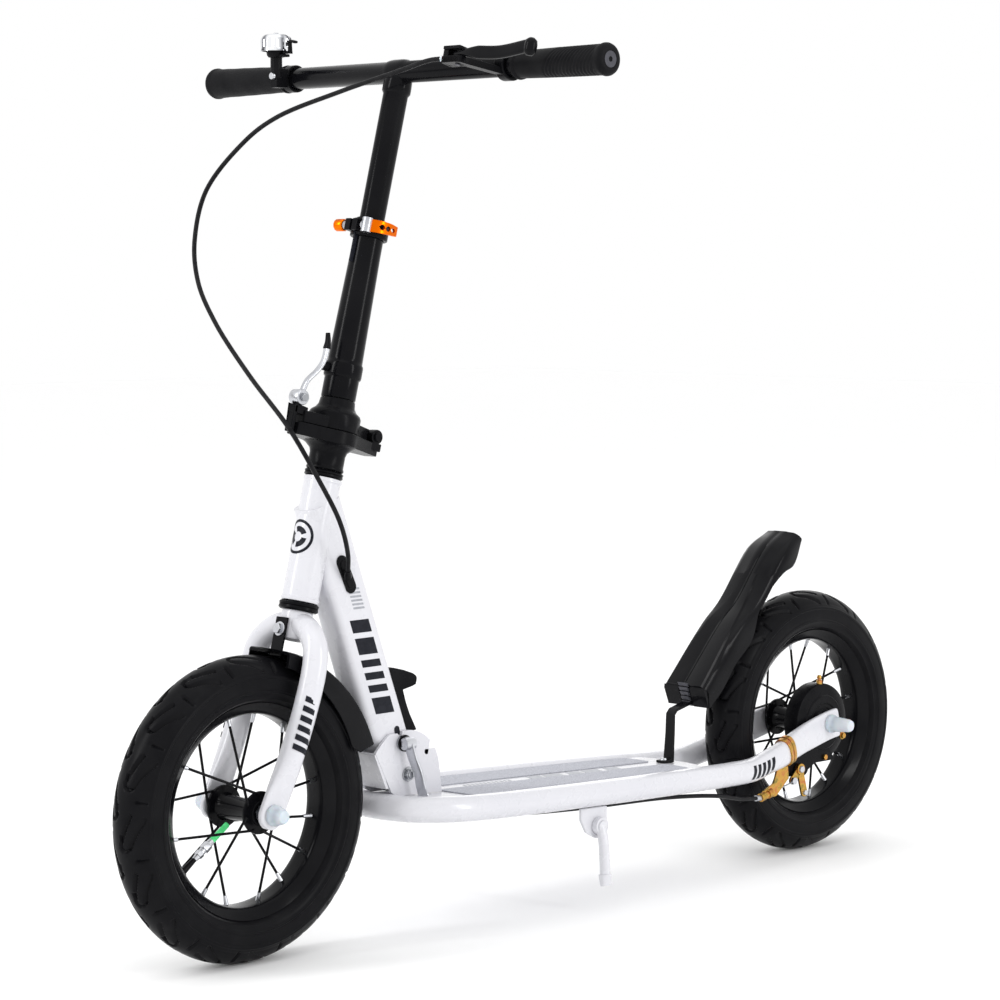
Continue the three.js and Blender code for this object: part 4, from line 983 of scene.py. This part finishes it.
def build_front_frame():
    foot, top, corner = -20.3, 300.0, 8.0
    stations = [foot + 20.3 * (1 - math.cos(math.radians(9 * step))) for step in range(11)]
    stations += [10, 20, 34, 41, 48, 55, 62, 120, 226, 238, 250, 262, 280, top]
    loops = []
    for along in stations:
        rear, front = tube_span(along)
        start = FOLD_PIVOT + RISE * along
        loops.append([start + FORWARD * forward + Vector((0, side, 0))
                      for forward, side in rounded_section(rear, front, TUBE_HALF, corner)])
    radius, bottom, head_top = 18.5, 361.5, 486.5
    head = lathe([(14, bottom), (18.9, bottom), (19.3, bottom + 1), (19.3, bottom + 3.5),
                  (radius, bottom + 4.5),
                  (radius, head_top - 4.5), (19.3, head_top - 3.5), (19.3, head_top - 1), (18.9, head_top),
                  (14, head_top)], segments=72)
    piece("downtube_and_head", [rings(loops), leaning(head)], WHITE, "front_frame",
          ["front_frame"])
    # painted shade: a thin dark sheet on each side face of the downtube stands in for the shade inside the
    # release slot
    slot = [shifted(plate(round_bar((230.6, 201), (233.2, 211.7), 3.6), TUBE_HALF + 0.06, TUBE_HALF + 0.22))]
    slot.append(flipped(slot[0]))
    piece("release_slot_painted_shade", slot, DARK_PRINT_AND_SHADE, "front_frame")
    port = [plate(round_bar((296, 362), (308, 388), 6.5), TUBE_HALF - 1, TUBE_HALF + 2.2),
            plate(round_bar((297.2, 364.6), (306.8, 385.4), 4.2), TUBE_HALF + 1, TUBE_HALF + 3.2)]
    piece("port_grommet", port, PLASTIC, "front_frame", ["cable_grommet"], bevel=0.7)
    for name, (start, end, ring) in {"headset_lower": (352, 361, 20),
                                     "headset_upper": (487, 494.3, 19.5)}.items():
        middle = (start + end) / 2
        profile = [(13, start), (ring - 2, start), (ring, start + 1.6), (ring - 0.3, middle - 0.4),
                   (ring - 1, middle), (ring - 0.3, middle + 0.4), (ring, end - 1.6), (ring - 2, end),
                   (13, end)]
        piece(name + "_cup", [leaning(lathe(profile, segments=64))], PLASTIC, "front_frame",
              [name])


def build_fold_release():
    strap = plate([(211.3, 204), (235.4, 271), (230, 273.4), (226, 273), (212, 269.5), (199, 265),
                   *arc((198, 259), 4.5, 120, 200, 4), (195, 253), (200, 251.5), (213, 249), (209, 236),
                   (204, 224),
                   (194, 206)], -5.5, 5.5)
    link = plate([(204, 216), (212, 228), (229, 205), (236, 198), (230, 191.5), (223, 197)], -3, 3)
    piece("release_strap", [strap, link], PLASTIC, "fold_release", ["fold_release"],
          bevel=0.9)
    x, z = FOLD_AXLE
    rods = [cross_rod(FOLD_AXLE, -28, 24.6, 3), cross_rod(FOLD_AXLE, 21.9, 24.4, 8.2),
            cross_rod(FOLD_AXLE, -27, -21.9, 7, sides=6)]
    piece("release_axle", rods, STEEL, "fold_release", ["fold_axle"], bevel=0.4)
    washer = cross_sleeve(FOLD_AXLE, 24.5, 26.4, 3.2, 8.6)
    piece("release_washer", [washer], PLASTIC, "fold_release", bevel=0.3)
    barrel = rod((x - 6.5, 31, z), (x + 6.5, 31, z), 6.2)
    cheek = lathe([(0, 26.6), (6.8, 26.6), (7.2, 31), (0, 31)], (x, 0, z), "Y")
    hang = route([(x, 31, z), (x - 5, 32.6, z - 16), (x - 9.5, 36, z - 32), (x - 12.5, 36.8, z - 47)], 8)
    blade = bent_bar(hang, lambda point, share: (7.4 - math.sin(math.pi * share), 1.5, 0.8), (1, 0, 0))
    tab = bent_bar(route([(x - 12, 36.6, z - 44), (x - 14, 37.2, z - 52), (x - 15, 38.8, z - 56)], 4),
                   lambda point, share: (7.4 - share, 1.5, 0.6), (1, 0, 0))
    piece("cam_lever", [barrel, cheek, blade, tab], SATIN, "fold_cam", ["fold_cam_lever"], bevel=0.4)


# ---------------------------------------------------------------- fork, stem and handlebar


def build_fork():
    legs = route([(0, 4, 340), (3, 24, 334), (5, 41, 318), (5.5, 46, 295), (8, 46, 250), (14, 45.5, 205),
                  (20, 44.5, 172), (24, 44, 150), (26, 44, 136)], 8)

    def section(point, _share):
        pressed = clamp((207 - point.z) / 40)
        half_width = lerp(12.5, 14.5, pressed)
        if point.z < 150:
            half_width *= math.sqrt(max(0.02, 1 - ((150 - point.z) / 14.4) ** 2))
        return half_width, lerp(12.2, 4, pressed), 0.8 * pressed

    leg = bent_bar(legs, section, (0, 1, 0), 28)
    steerer = lathe([(0, 330), (12.7, 330), (12.7, 532), (0, 532)])
    crown = lathe([(0, 321), (10, 321.6), (14.4, 324), (15.8, 329), (15.8, 349), (15.2, 351.6), (0, 351.6)])
    piece("fork_frame", all_leaning((leg, flipped(leg), steerer, crown)), WHITE, "fork",
          ["fork"])


def build_stem_hinge():
    u, h = -50, 540
    top = 533.8
    sleeve = lathe([(13.6, 494.6), (18.6, 494.6), (19, 495.6), (18.6, 497.6), (18, 498.4), (18, 511),
                    (19.2, 515),
                    (24, 519.4), (27, 521), (27, top), (13.6, top)])
    flange = plate([(51, -8), (51, 8), *arc((0, 0), 27.5, 52, 128, 8), (u - 7, 9), (u - 7, -9),
                    *arc((0, 0), 27.5, 232, 308, 8)], 521, top, "XY")
    lug = [cross_sleeve((u, h), 4.3, 13, 3, 7.5, 40),
           box(u - 7.5, u + 7.5, 4.3, 13, 526, 534)]
    lower = [sleeve, flange, *lug, *[flipped(shell) for shell in lug]]
    piece("stem_clamp_foot", all_leaning(lower), PLASTIC, "fork",
          ["stem_clamp_lower"], bevel=0.9)
    pin = [cross_rod((u, h), -14, 14, 2.9), cross_rod((u, h), 13.3, 15.4, 5, 4.4),
           cross_rod((u, h), -13.3, -15.4, 5, 4.4)]
    piece("stem_pin", all_leaning(pin), PLASTIC, "fork", ["stem_hinge_pin"], bevel=0.3)
    bottom = 534.2
    body = lathe([(0, bottom), (26, bottom), (26.4, bottom + 1), (26.4, 550), (25, 553), (21, 556),
                  (18.4, 560),
                  (17.6, 566), (17, 567), (13.2, 567), (13.2, 546.4), (0, 546.4)])
    front = [plate([(0, -24), (45, -7), (45, 7), (0, 24)], bottom, 546.3, "XY"),
             box(40, 57.6, -5, 5, 541.4, 549.8), box(53.2, 57.6, -5, 5, 522.4, 549.8)]
    knuckle = [cross_sleeve((u, h), -3.7, 3.7, 3.1, 7.2, 40),
               box(u + 4, u + 12, -3.7, 3.7, h - 4.4, h + 7),
               plate([(u + 8.8, -7.6), (0, -24), (0, 24), (u + 8.8, 7.6)], bottom, 546.3, "XY")]
    piece("stem_clamp_head", all_leaning([body, *front, *knuckle]), PLASTIC, "stem",
          ["stem_clamp_upper"], bevel=1.1, segments=3)


def build_latch():
    u, h = 51, 558
    rise = route([(u, 2, h), (u - 3, 4, h + 17), (u - 12, 6, h + 30), (u - 16.5, 7.4, h + 41),
                  (u - 17, 7.8, h + 56)], 8)
    blade = bent_bar(rise, lambda point, share: (3.4, 1.8, 0.7), (1, 0, 0))
    eye = lathe([(2.6, -7), (7.2, -7), (7.8, -6), (7.8, 6), (7.2, 7), (2.6, 7)], (u, 0, h), "Y", 40)
    piece("latch_blade", all_leaning((blade, eye)), SATIN, "stem_latch",
          ["stem_latch_lever"], bevel=0.4)
    bolt = [cross_rod((u, h), -9, 9, 2.6), cross_rod((u, h), 7.2, 10.6, 4.4, sides=6),
            cross_rod((u, h), -7.2, -10, 4.6)]
    piece("latch_bolt", all_leaning(bolt), STEEL, "stem_latch", bevel=0.3)
    tip = bent_bar(route([(u - 17, 7.8, h + 53), (u - 17, 7.8, h + 60), (u - 15, 7.6, h + 69)], 5),
                   lambda point, share: (4.2 - 1.8 * share, 2.8 - 1.2 * share, 0.6), (1, 0, 0))
    piece("latch_tip", [leaning(tip)], PLASTIC, "stem_latch", bevel=0.6)


COLLAR_BOLT = (21.5, 741)


def build_post():
    tube = lathe([(13.3, 567.4), (17.2, 567.4), (17.5, 568.4), (17.5, 588), (18.8, 589.4), (19.2, 591),
                  (19.2, 601),
                  (18.8, 603), (17.8, 604.2), (17.5, 608), (15.4, 716), (15.3, 731), (15.3, 751.6),
                  (13.3, 751.6)],
                 segments=80)
    piece("post_outer", [leaning(tube)], BLACK, "stem", ["outer_post"])
    bumper = [rod((17, -4, 596.5), (24.6, -4, 596.5), 5), rod((24.6, -4, 596.5), (26.4, -4, 596.5), 5, 3.6)]
    piece("latch_bumper", all_leaning(bumper), PLASTIC, "stem", bevel=0.3)
    ring = lathe([(15.4, 732), (18.6, 732), (19.1, 733), (19.1, 749), (18.6, 750), (15.4, 750)])
    ears = [box(14, 27, -9, -1.2, 735, 747), box(14, 27, 1.2, 9, 735, 747)]
    piece("collar", all_leaning((ring, *ears)), PLASTIC, "stem", ["height_clamp"],
          bevel=0.9)
    # painted shade: a dark box stands in for the shade inside the clamping slit of the post
    slit = [box(15, 19.6, -0.9, 0.9, 705, 735)]
    piece("post_slit_painted_shade", all_leaning(slit), DARK_PRINT_AND_SHADE, "stem")
    bolt = [cross_rod(COLLAR_BOLT, -25, 12.5, 2.5), cross_rod(COLLAR_BOLT, -13.6, -9, 4.6)]
    piece("collar_bolt", all_leaning(bolt), STEEL, "stem", bevel=0.3)
    nut = lathe([(0, -26.4), (4.4, -26.4), (6.4, -25.0), (6.4, -15.4), (5.4, -14), (0, -14)],
                (COLLAR_BOLT[0], 0, COLLAR_BOLT[1]), "Y", 12)
    piece("collar_nut", [leaning(nut)], ORANGE, "stem", bevel=0.3)


def build_height_lever():
    """Curved blade with three round holes toward its tip, on a silver barrel."""
    wrap = route([(21.5, 16.6, 741), (12, 25.4, 741.4), (0, 27.4, 742), (-12, 25.4, 742.4)], 14)
    count = len(wrap)
    holes = [round(count * share) for share in (0.42, 0.60, 0.78)]

    def strip(side_low, side_high):
        loops = []
        for index, point in enumerate(wrap):
            along = heading_at(wrap, index)
            out = along.cross(Vector((0, 0, 1))).normalized() * -1.6
            near = min(abs(index - hole) for hole in holes)
            pinch = 2.7 * math.sqrt(max(0.0, 1 - (near / 3.2) ** 2))
            lows = side_low if side_low < 0 else pinch
            highs = side_high if side_high > 0 else -pinch
            taper = 1 - 0.25 * (index / count) ** 3
            corners = [(lows * taper, -1), (highs * taper, -1), (highs * taper, 1), (lows * taper, 1)]
            loops.append([point + Vector((0, 0, rise)) + out * depth for rise, depth in corners])
        return rings(loops)

    shells = [strip(-6.4, 0.0), strip(0.0, 6.4)]
    piece("lever_blade", all_leaning(shells), ORANGE, "height_lever",
          ["height_lever"], bevel=0.4)
    barrel = [rod((21.5, 18, 733.6), (21.5, 18, 748.4), 5.2), cross_rod(COLLAR_BOLT, 12.4, 18, 4.4)]
    piece("lever_barrel", all_leaning(barrel), SATIN, "height_lever", bevel=0.5)


def build_handlebar():
    post = lathe([(10.8, 622), (12.7, 622), (12.7, BAR_HEIGHT - 24), (13.4, BAR_HEIGHT - 23),
                  (14.6, BAR_HEIGHT - 21),
                  (14.6, BAR_HEIGHT - 10), (13.6, BAR_HEIGHT - 7), (12.7, BAR_HEIGHT - 3), (12.7, BAR_HEIGHT),
                  (10.8, BAR_HEIGHT)], segments=64)
    half = 289.7
    bar = lathe([(9.3, -half), (11.1, -half), (11.1, -16), (12.4, -12), (13, -6), (13, 6), (12.4, 12),
                 (11.1, 16),
                 (11.1, half), (9.3, half)], (0, 0, BAR_HEIGHT), "Y", 64)
    piece("bar_and_post", [leaning(post), leaning(bar)], BLACK, "handlebar", ["handlebar"])


GRIP_INNER, GRIP_OUTER = 170.0, 291.5


def ribbed_radius(radius, along, angle):
    """Fine slanted ribs on the outer part of the left grip, past a slanted boundary."""
    slant = along + 9 * math.sin(angle)
    if radius < 13.2 or slant < 218 or along > GRIP_OUTER - 10:
        return radius
    fade = clamp((slant - 218) / 1.5) * clamp((GRIP_OUTER - 10 - along) / 2)
    return radius - 0.8 * fade * (0.5 + 0.5 * math.cos(2 * math.pi * slant / 4.6))


def swirled_radius(radius, along, angle):
    """Faint wide swirl on the smooth right grip."""
    if radius < 13.2 or along > GRIP_OUTER - 12:
        return radius
    return radius - 0.18 * (0.5 + 0.5 * math.cos(2 * math.pi * (along + 22 * math.sin(angle)) / 26))


def build_grips():
    inner, outer = GRIP_INNER, GRIP_OUTER
    steps = 130
    for name, node, turn, swell, shape in (
        ("grip_sleeve_left", "grip_left", lambda shell: shell, 1.6, ribbed_radius),
        ("grip_sleeve_right", "grip_right", flipped, 2.0, swirled_radius),
    ):
        profile = [(11.6, inner), (14.0, inner), (14.7, inner + 1.2), (14.4, inner + 3.4),
                   (13.4, inner + 4.6)]
        for step in range(steps + 1):
            share = step / steps
            along = lerp(inner + 6, outer - 9, share)
            profile.append((13.5 + 0.7 * math.sin(math.pi * share) + swell * share**2.2, along))
        end = 13.5 + swell
        profile += [(end + 0.9, outer - 6.5), (end + 0.8, outer - 4.2), (end - 0.2, outer - 2.0),
                    (end - 2.0, outer - 0.5), (end - 3.6, outer), (8.6, outer), (8.4, outer - 0.8),
                    (0, outer - 0.8),
                    (0, outer - 1.6), (11.6, outer - 1.6)]
        sleeve = lathe(profile, (0, 0, BAR_HEIGHT), "Y", 96, shape)
        piece(name, [leaning(turn(sleeve))], GRIP, "handlebar", [node])
        disc = lathe([(2.6, outer - 1), (8.0, outer - 1), (8.0, outer - 0.2), (2.6, outer - 0.2)],
                     (0, 0, BAR_HEIGHT), "Y")
        piece(name + "_disc", [leaning(turn(disc))], SATIN_BLACK, "handlebar")


def build_brake_lever():
    u, y = 46, 133
    h = BAR_HEIGHT - 1.8
    ring_low, ring_high = y + 16, y + 29
    clamp_ring = lathe([(11.4, ring_low), (14.4, ring_low), (15.2, ring_low + 1), (15.2, ring_high - 1),
                        (14.4, ring_high), (11.4, ring_high)], (0, 0, BAR_HEIGHT), "Y")
    arm = plate([(8, y + 28), (44, y + 12.5), (52, y + 10), (54, y + 6), (54, y - 14), (40, y - 16),
                 (38, y + 2),
                 (10, y + 16)], h - 10.2, h - 3.4, "XY")
    block = box(38, 54, y - 16, y + 7, h - 10.2, h - 3.6)
    cheek = box(38, 54, y - 16, y + 7, h + 3.4, h + 6.8)
    root = box(40, 52, y - 17, y - 10, h - 10.2, h + 6.8)
    piece("lever_perch", all_leaning((clamp_ring, arm, block, cheek, root)), PLASTIC,
          "handlebar", ["brake_lever_perch"], bevel=1.2, segments=3)
    screws = [rod((u, y, h + 6.8), (u, y, h + 8), 3.0, 2.6),
              rod((u, y, h - 10.2), (u, y, h - 11.4), 3.0, 2.6)]
    piece("perch_screws", all_leaning(screws), SATIN_BLACK, "handlebar", bevel=0.3)
    sweep = route([(u, y - 6, h), (u + 3, y + 18, h), (u + 1, y + 55, h - 1), (u + 3, y + 98, h + 3)], 14)

    def section(point, _share):
        return 2.9, clamp((point.y - y - 6) * 0.2 / 4.5) * 3.9 + 2.7, 0.6

    blade = bent_bar(sweep, section, (0, 0, 1), 28)
    knob = lathe([(0, h - 7.4), (3, h - 7), (5.6, h - 4.6), (6.3, h - 1), (6.3, h + 4), (5.6, h + 7.6),
                  (3, h + 10), (0, h + 10.4)], (u + 3, y + 99, 0), "Z", 40)
    piece("lever_blade_brake", [leaning(blade), leaning(knob)], BLACK, "brake_lever",
          ["brake_lever"], bevel=0.4)


def build_bell():
    x, y = centre("bell_dome")[:2]
    base, top = low("bell_dome")[2], high("bell_dome")[2]
    radius = (high("bell_dome")[0] - low("bell_dome")[0]) / 2
    flutes, flute_depth = 12, 1.7

    def fluted(r, along, angle):
        share = clamp((top - 2 - along) / 6) * clamp((along - base - 1.5) / 3)
        if r < radius * 0.8:
            return r
        return r - flute_depth * share * (0.5 + 0.5 * math.cos(flutes * angle))

    dome = [(0, top), (0.3 * radius, top - 0.15), (0.55 * radius, top - 0.6), (0.74 * radius, top - 1.4),
            (0.88 * radius, top - 2.9), (0.96 * radius, top - 4.8), (radius, top - 7), (radius, base + 5),
            (radius, base + 2.4), (radius + 0.5, base + 1.2), (radius + 0.5, base), (radius - 1.4, base),
            (radius - 1.6, top - 9), (0.7 * radius, top - 4.2), (0, top - 1.8)]
    piece("bell_cup", [lathe(dome, (x, y, 0), "Z", 176, fluted)], CHROME, "handlebar",
          ["bell_dome"])
    screw = [lathe([(0, top + 1.2), (2.2, top + 1.0), (2.8, top + 0.2), (2.8, top - 0.6), (0, top - 0.6)],
                   (x, y, 0), "Z", 24)]
    piece("bell_screw", screw, SATIN, "handlebar")
    bx, bz = BAR_PLACE
    strap = lathe([(11.5, y - 5), (14.2, y - 5), (14.2, y + 5), (11.5, y + 5)], (bx, 0, bz), "Y")
    foot = box(bx + 12.4, x + 4, y - 5, y + 5, bz - 10, bz + 10)
    post = rod((x, y, bz), (x, y, base + 2), 6.2)
    plate_disc = lathe([(0, base - 6.5), (8.0, base - 6.5), (9.6, base - 4.4), (10.4, base - 1),
                        (10.4, base + 1.6),
                        (0, base + 1.6)], (x, y, 0), "Z")
    ear = box(x - 4, x + 4, y + 8, y + 17, base - 6.5, base - 3.6)
    piece("bell_bracket", [strap, foot, post, plate_disc, ear], PLASTIC, "handlebar",
          ["bell_base"],
          bevel=0.7)
    bolt = [rod((x + 4, y, bz + 2), (x + 7.4, y, bz + 2), 4, 3.4)]
    piece("bell_bolt", bolt, SATIN, "handlebar", bevel=0.4)
    px, py, pz = joint_place("bell_thumb")
    arm = [rod((px, py, pz - 0.2), (px, py, pz + 2.4), 3.4), box(px - 2, px + 2, py, py + 8, pz, pz + 2.6),
           box(px - 2, px + 2, py + 5.2, py + 8, pz, pz + 13)]
    pad = bent_bar(route([(px, py + 5, pz + 11.4), (px, py + 10, pz + 12.2), (px, py + 15.5, pz + 11)], 6),
                   lambda point, share: (3.4, 1.5, 0.5))
    piece("thumb_lever", [*arm, pad], PLASTIC, "bell_lever", ["bell_thumb_lever"], bevel=0.6)


# ---------------------------------------------------------------- brake cable

UPPER_CABLE = [
    (254.7, 116.5, 883), (257.5, 92, 882), (263, 60, 874), (275, -20, 855), (290, -101, 831),
    (302, -135, 808),
    (322, -172, 759), (338, -172, 708), (350, -153, 667), (362, -113, 627), (374, -45, 574), (377, 20, 522),
    (363, 45, 475), (340, 50, 433), (318, 38, 398), (304.4, 22.5, 374.6),
]
LOWER_CABLE = [
    (205, 24, 127), (170, 34, 120), (100, 48, 112), (0, 53, 106), (-132, 54, 101), (-220, 52, 92),
    (-270, 48.5, 82), (-302.2, 46, 78.9),
]


def build_cable():
    """The upper run is in three lengths, each across one joint, meeting at the cuts; no length is attached to
    a body.
    """
    path = route(UPPER_CABLE, 12)
    side = (0.6, 0.8, 0.1)
    first_cut, second_cut = 7 * 12, 11 * 12
    lengths = (
        ("cable_bar_to_stem", path[: first_cut + 1], "handlebar", "stem", ["brake_cable_upper"]),
        ("cable_stem_to_fork", path[first_cut : second_cut + 1], "stem", "fork", []),
        ("cable_fork_to_frame", path[second_cut:], "fork", "front_frame", []),
    )
    for name, points, upper, lower, replaced in lengths:
        made = piece(name, [round_tube(points, 2.4, side)], CABLE, None, replaced)
        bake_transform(made)
    entry = path[0]
    ahead = (path[0] - path[6]).normalized()
    ferrule = [rod(entry - ahead * 9, entry + ahead * 5, 3.3, 3.6)]
    piece("cable_ferrule", ferrule, CLEAR, "handlebar", bevel=0.4)
    tail = path[-1]
    lead = (path[-1] - path[-7]).normalized()
    piece("port_boot", [rod(tail - lead * 7, tail + lead * 3, 3.1, 4.4)], PLASTIC, "front_frame",
          bevel=0.4)
    lower_path = route(LOWER_CABLE, 10)
    piece("cable_under_deck", [round_tube(lower_path, 2.4)], CABLE, "deck",
          ["brake_cable_lower"])
    end = lower_path[-1]
    toward = (lower_path[-1] - lower_path[-6]).normalized()
    piece("cable_end_ferrule", [rod(end - toward * 8, end + toward * 1, 3.4, 3.4)], SATIN, "deck",
          bevel=0.4)


# ---------------------------------------------------------------- plain printed graphics


def slanted_bars(origin, along, up, depth, places):
    """Thin slanted bars standing on a face. places are (start, end, lowest, highest) along and up."""
    origin, along, up, depth = Vector(origin), Vector(along), Vector(up), Vector(depth)
    shells = []
    for start, end, lowest, highest in places:
        slant = 0.35 * (highest - lowest)
        loop = [(start, lowest), (end, lowest), (end + slant, highest), (start + slant, highest)]
        base = [origin + along * a + up * b for a, b in loop]
        shells.append(rings([base, [corner + depth for corner in base]]))
    return shells


def build_graphics():
    face, lift = TUBE_HALF + 0.02, 0.12
    blocks = [(66, 84), (90, 98), (104, 112), (118, 126), (132, 150), (156, 170)]
    for side, word in ((1, "left"), (-1, "right")):
        origin = FOLD_PIVOT + Vector((0, side * face, 0))
        out = (0, side * lift, 0)
        shells = slanted_bars(origin, RISE, FORWARD, out, [(start, end, -9, 15) for start, end in blocks])
        piece("tube_graphic_" + word, shells, DARK_PRINT_AND_SHADE, "front_frame")
        hatch = [(182 + 4.2 * index, 184.2 + 4.2 * index, -8, 6) for index in range(6)]
        piece("tube_hatch_" + word, slanted_bars(origin, RISE, FORWARD, out, hatch), GREY_PRINT,
              "front_frame")
    build_leg_graphic()
    build_deck_graphic()
    head_radius, level, steps = 18.5, 424.0, 48

    def wrapped(radius, lift_from_tube):
        """A circle drawn flat and wrapped round the front of the head tube."""
        loop = []
        for step in range(steps):
            angle = 2 * math.pi * step / steps
            turn = radius * math.cos(angle) / head_radius
            out = head_radius + lift_from_tube
            loop.append(Vector((out * math.cos(turn), out * math.sin(turn),
                                level + radius * math.sin(angle))))
        return loop

    ring = rings([wrapped(14.6, 0.03), wrapped(14.6, 0.2), wrapped(17.4, 0.2), wrapped(17.4, 0.03)],
                 closed_rings=True)
    lobes = []
    for start in (25, 145, 265):
        loops = []
        for radius in (5.0, 10.5):
            for lift_now in ((0.03, 0.2) if radius == 5.0 else (0.2, 0.03)):
                loop = []
                for step in range(13):
                    angle = math.radians(start + 90 * step / 12)
                    turn = radius * math.cos(angle) / head_radius
                    out = head_radius + lift_now
                    loop.append(Vector((out * math.cos(turn), out * math.sin(turn),
                                        level + radius * math.sin(angle))))
                loops.append(loop)
        lobes.append(rings([[loop[step] for loop in loops] for step in range(13)]))
    piece("head_badge", all_leaning((ring, *lobes)), DARK_PRINT_AND_SHADE, "front_frame")


def build_leg_graphic():
    """Slanted blocks wrapped round the outside of each fork leg and each rear stay."""
    for side, word in ((1, "left"), (-1, "right")):
        shells = []
        for index in range(6):
            low_edge = 212 + 9.5 * index
            loops = []
            for step in range(9):
                turn = math.radians(-48 + 96 * step / 8)
                slant = 5 * step / 8
                ring = []
                for height, lift in ((low_edge, 0.1), (low_edge + 5.5, 0.1), (low_edge + 5.5, 0.3),
                                     (low_edge, 0.3)):
                    centre_u = lerp(13.0, 6.6, clamp((height - 210) / 60))
                    reach = 12.4 + lift
                    ring.append(Vector((centre_u + reach * math.sin(turn),
                                        side * (45.7 + reach * math.cos(turn)), height + slant)))
                loops.append(ring)
            shells.append(leaning(rings(loops)))
        piece("leg_graphic_" + word, shells, DARK_PRINT_AND_SHADE, "fork")
        stays = []
        path = [point for point in rail_path() if point.y > 0]
        for index in range(5):
            start = -262 - 9 * index
            loops = []
            for step in range(7):
                turn = math.radians(-34 + 68 * step / 6)
                ring = []
                for along, lift in ((start, 0.1), (start - 5.5, 0.1), (start - 5.5, 0.3), (start, 0.3)):
                    x = along - 4 * step / 6
                    near = min(path, key=lambda point: abs(point.x - x))
                    reach = RAIL_RADIUS + lift
                    ring.append(Vector((x, side * (near.y + reach * math.cos(turn)),
                                        near.z + reach * math.sin(turn))))
                loops.append(ring)
            stays.append(rings(loops))
        piece("stay_graphic_" + word, stays, DARK_PRINT_AND_SHADE, "deck")


def build_deck_graphic():
    """Row of slanted blocks down the middle of the deck, with thin lines of small marks before it."""
    blocks = [(-118 + 30 * index, -98 + 30 * index + (6 if index % 2 else 0)) for index in range(5)]
    base = Vector((0, 0, DECK_TOP + 0.05))
    shells = slanted_bars(base, (1, 0, 0), (0, 1, 0), (0, 0, 0.15),
                          [(start, end, -7, 7) for start, end in blocks])
    marks = slanted_bars(base, (1, 0, 0), (0, 1, 0), (0, 0, 0.15),
                         [(52 + 6 * index, 55 + 6 * index, -3.5, 3.5) for index in range(12)])
    piece("deck_graphic", [placed(shell, ON_DECK) for shell in shells], GREY_PRINT, "deck")
    piece("deck_marks", [placed(shell, ON_DECK) for shell in marks], GREY_PRINT, "deck")


# ---------------------------------------------------------------- camera, floor and light


def build_stage():
    camera_data = bpy.data.cameras.new("camera")
    sensor_width, lens_over_sensor = 36.0, 3.09756
    camera_data.sensor_width = sensor_width
    camera_data.lens = sensor_width * lens_over_sensor
    camera = bpy.data.objects.new("camera", camera_data)
    bpy.context.scene.collection.objects.link(camera)
    camera.location = (2.3610, 2.3049, 0.6853)
    yaw, pitch = math.radians(45.150), math.radians(4.3906)
    aim = Vector((-math.cos(yaw) * math.cos(pitch), -math.sin(yaw) * math.cos(pitch), -math.sin(pitch)))
    camera.rotation_euler = aim.to_track_quat("-Z", "Y").to_euler()
    bpy.context.scene.camera = camera


def add_light(name, place, target, size, power):
    data = bpy.data.lights.new(name, "AREA")
    data.shape = "RECTANGLE"
    data.size, data.size_y = size
    data.energy = power
    lamp = bpy.data.objects.new(name, data)
    bpy.context.scene.collection.objects.link(lamp)
    lamp.location = place
    lamp.rotation_euler = (Vector(target) - Vector(place)).to_track_quat("-Z", "Y").to_euler()


def build_floor_and_light():
    reach = 12.0
    mesh = bpy.data.meshes.new("floor")
    mesh.from_pydata([(-reach, -reach, 0), (reach, -reach, 0), (reach, reach, 0), (-reach, reach, 0)], [],
                     [(0, 1, 2, 3)])
    floor = bpy.data.objects.new("floor", mesh)
    bpy.context.scene.collection.objects.link(floor)
    paper = Shader("paper", (0.95, 0.95, 0.95), 0.8)
    paper.vary_color(paper.noise(3, 3), [(0.3, (0.997, 0.997, 0.997)), (0.7, (1.0, 1.0, 1.0))])
    mesh.materials.append(paper.material)
    world = bpy.data.worlds.new("studio")
    bpy.context.scene.world = world
    world.use_nodes = True
    background = world.node_tree.nodes["Background"].inputs
    background["Color"].default_value = (1.0, 1.0, 1.0, 1)
    background["Strength"].default_value = 1.0
    bpy.context.scene.view_settings.view_transform = "Standard"
    middle = (0, 0, 0.4)
    add_light("overhead", (0.2, 0.4, 2.8), middle, (2.4, 2.0), 8)
    add_light("key", (2.6, -0.9, 1.9), middle, (0.45, 1.9), 25)
    add_light("side", (-0.6, 3.0, 1.4), middle, (0.45, 1.9), 22)
    add_light("back", (-2.6, -1.8, 1.6), middle, (1.6, 1.4), 8)


def dress_cad_nodes():
    """Nodes whose CAD shape stays get a finished material."""
    for name, material in (
        ("brake_band", STEEL), ("front_bearing_left", STEEL), ("front_bearing_right", STEEL),
        ("rear_bearing_left", STEEL), ("rear_bearing_right", STEEL),
    ):
        node = frame["nodes"][name]
        node.data.materials.clear()
        node.data.materials.append(material)


build_stage()
build_floor_and_light()
build_deck()
build_hinge()
build_kickstand()
build_wheels()
build_brake()
build_rear_mudguard()
build_front_mudguard()
build_front_frame()
build_fold_release()
build_fork()
build_stem_hinge()
build_latch()
build_post()
build_height_lever()
build_handlebar()
build_grips()
build_brake_lever()
build_bell()
build_cable()
build_graphics()
dress_cad_nodes()
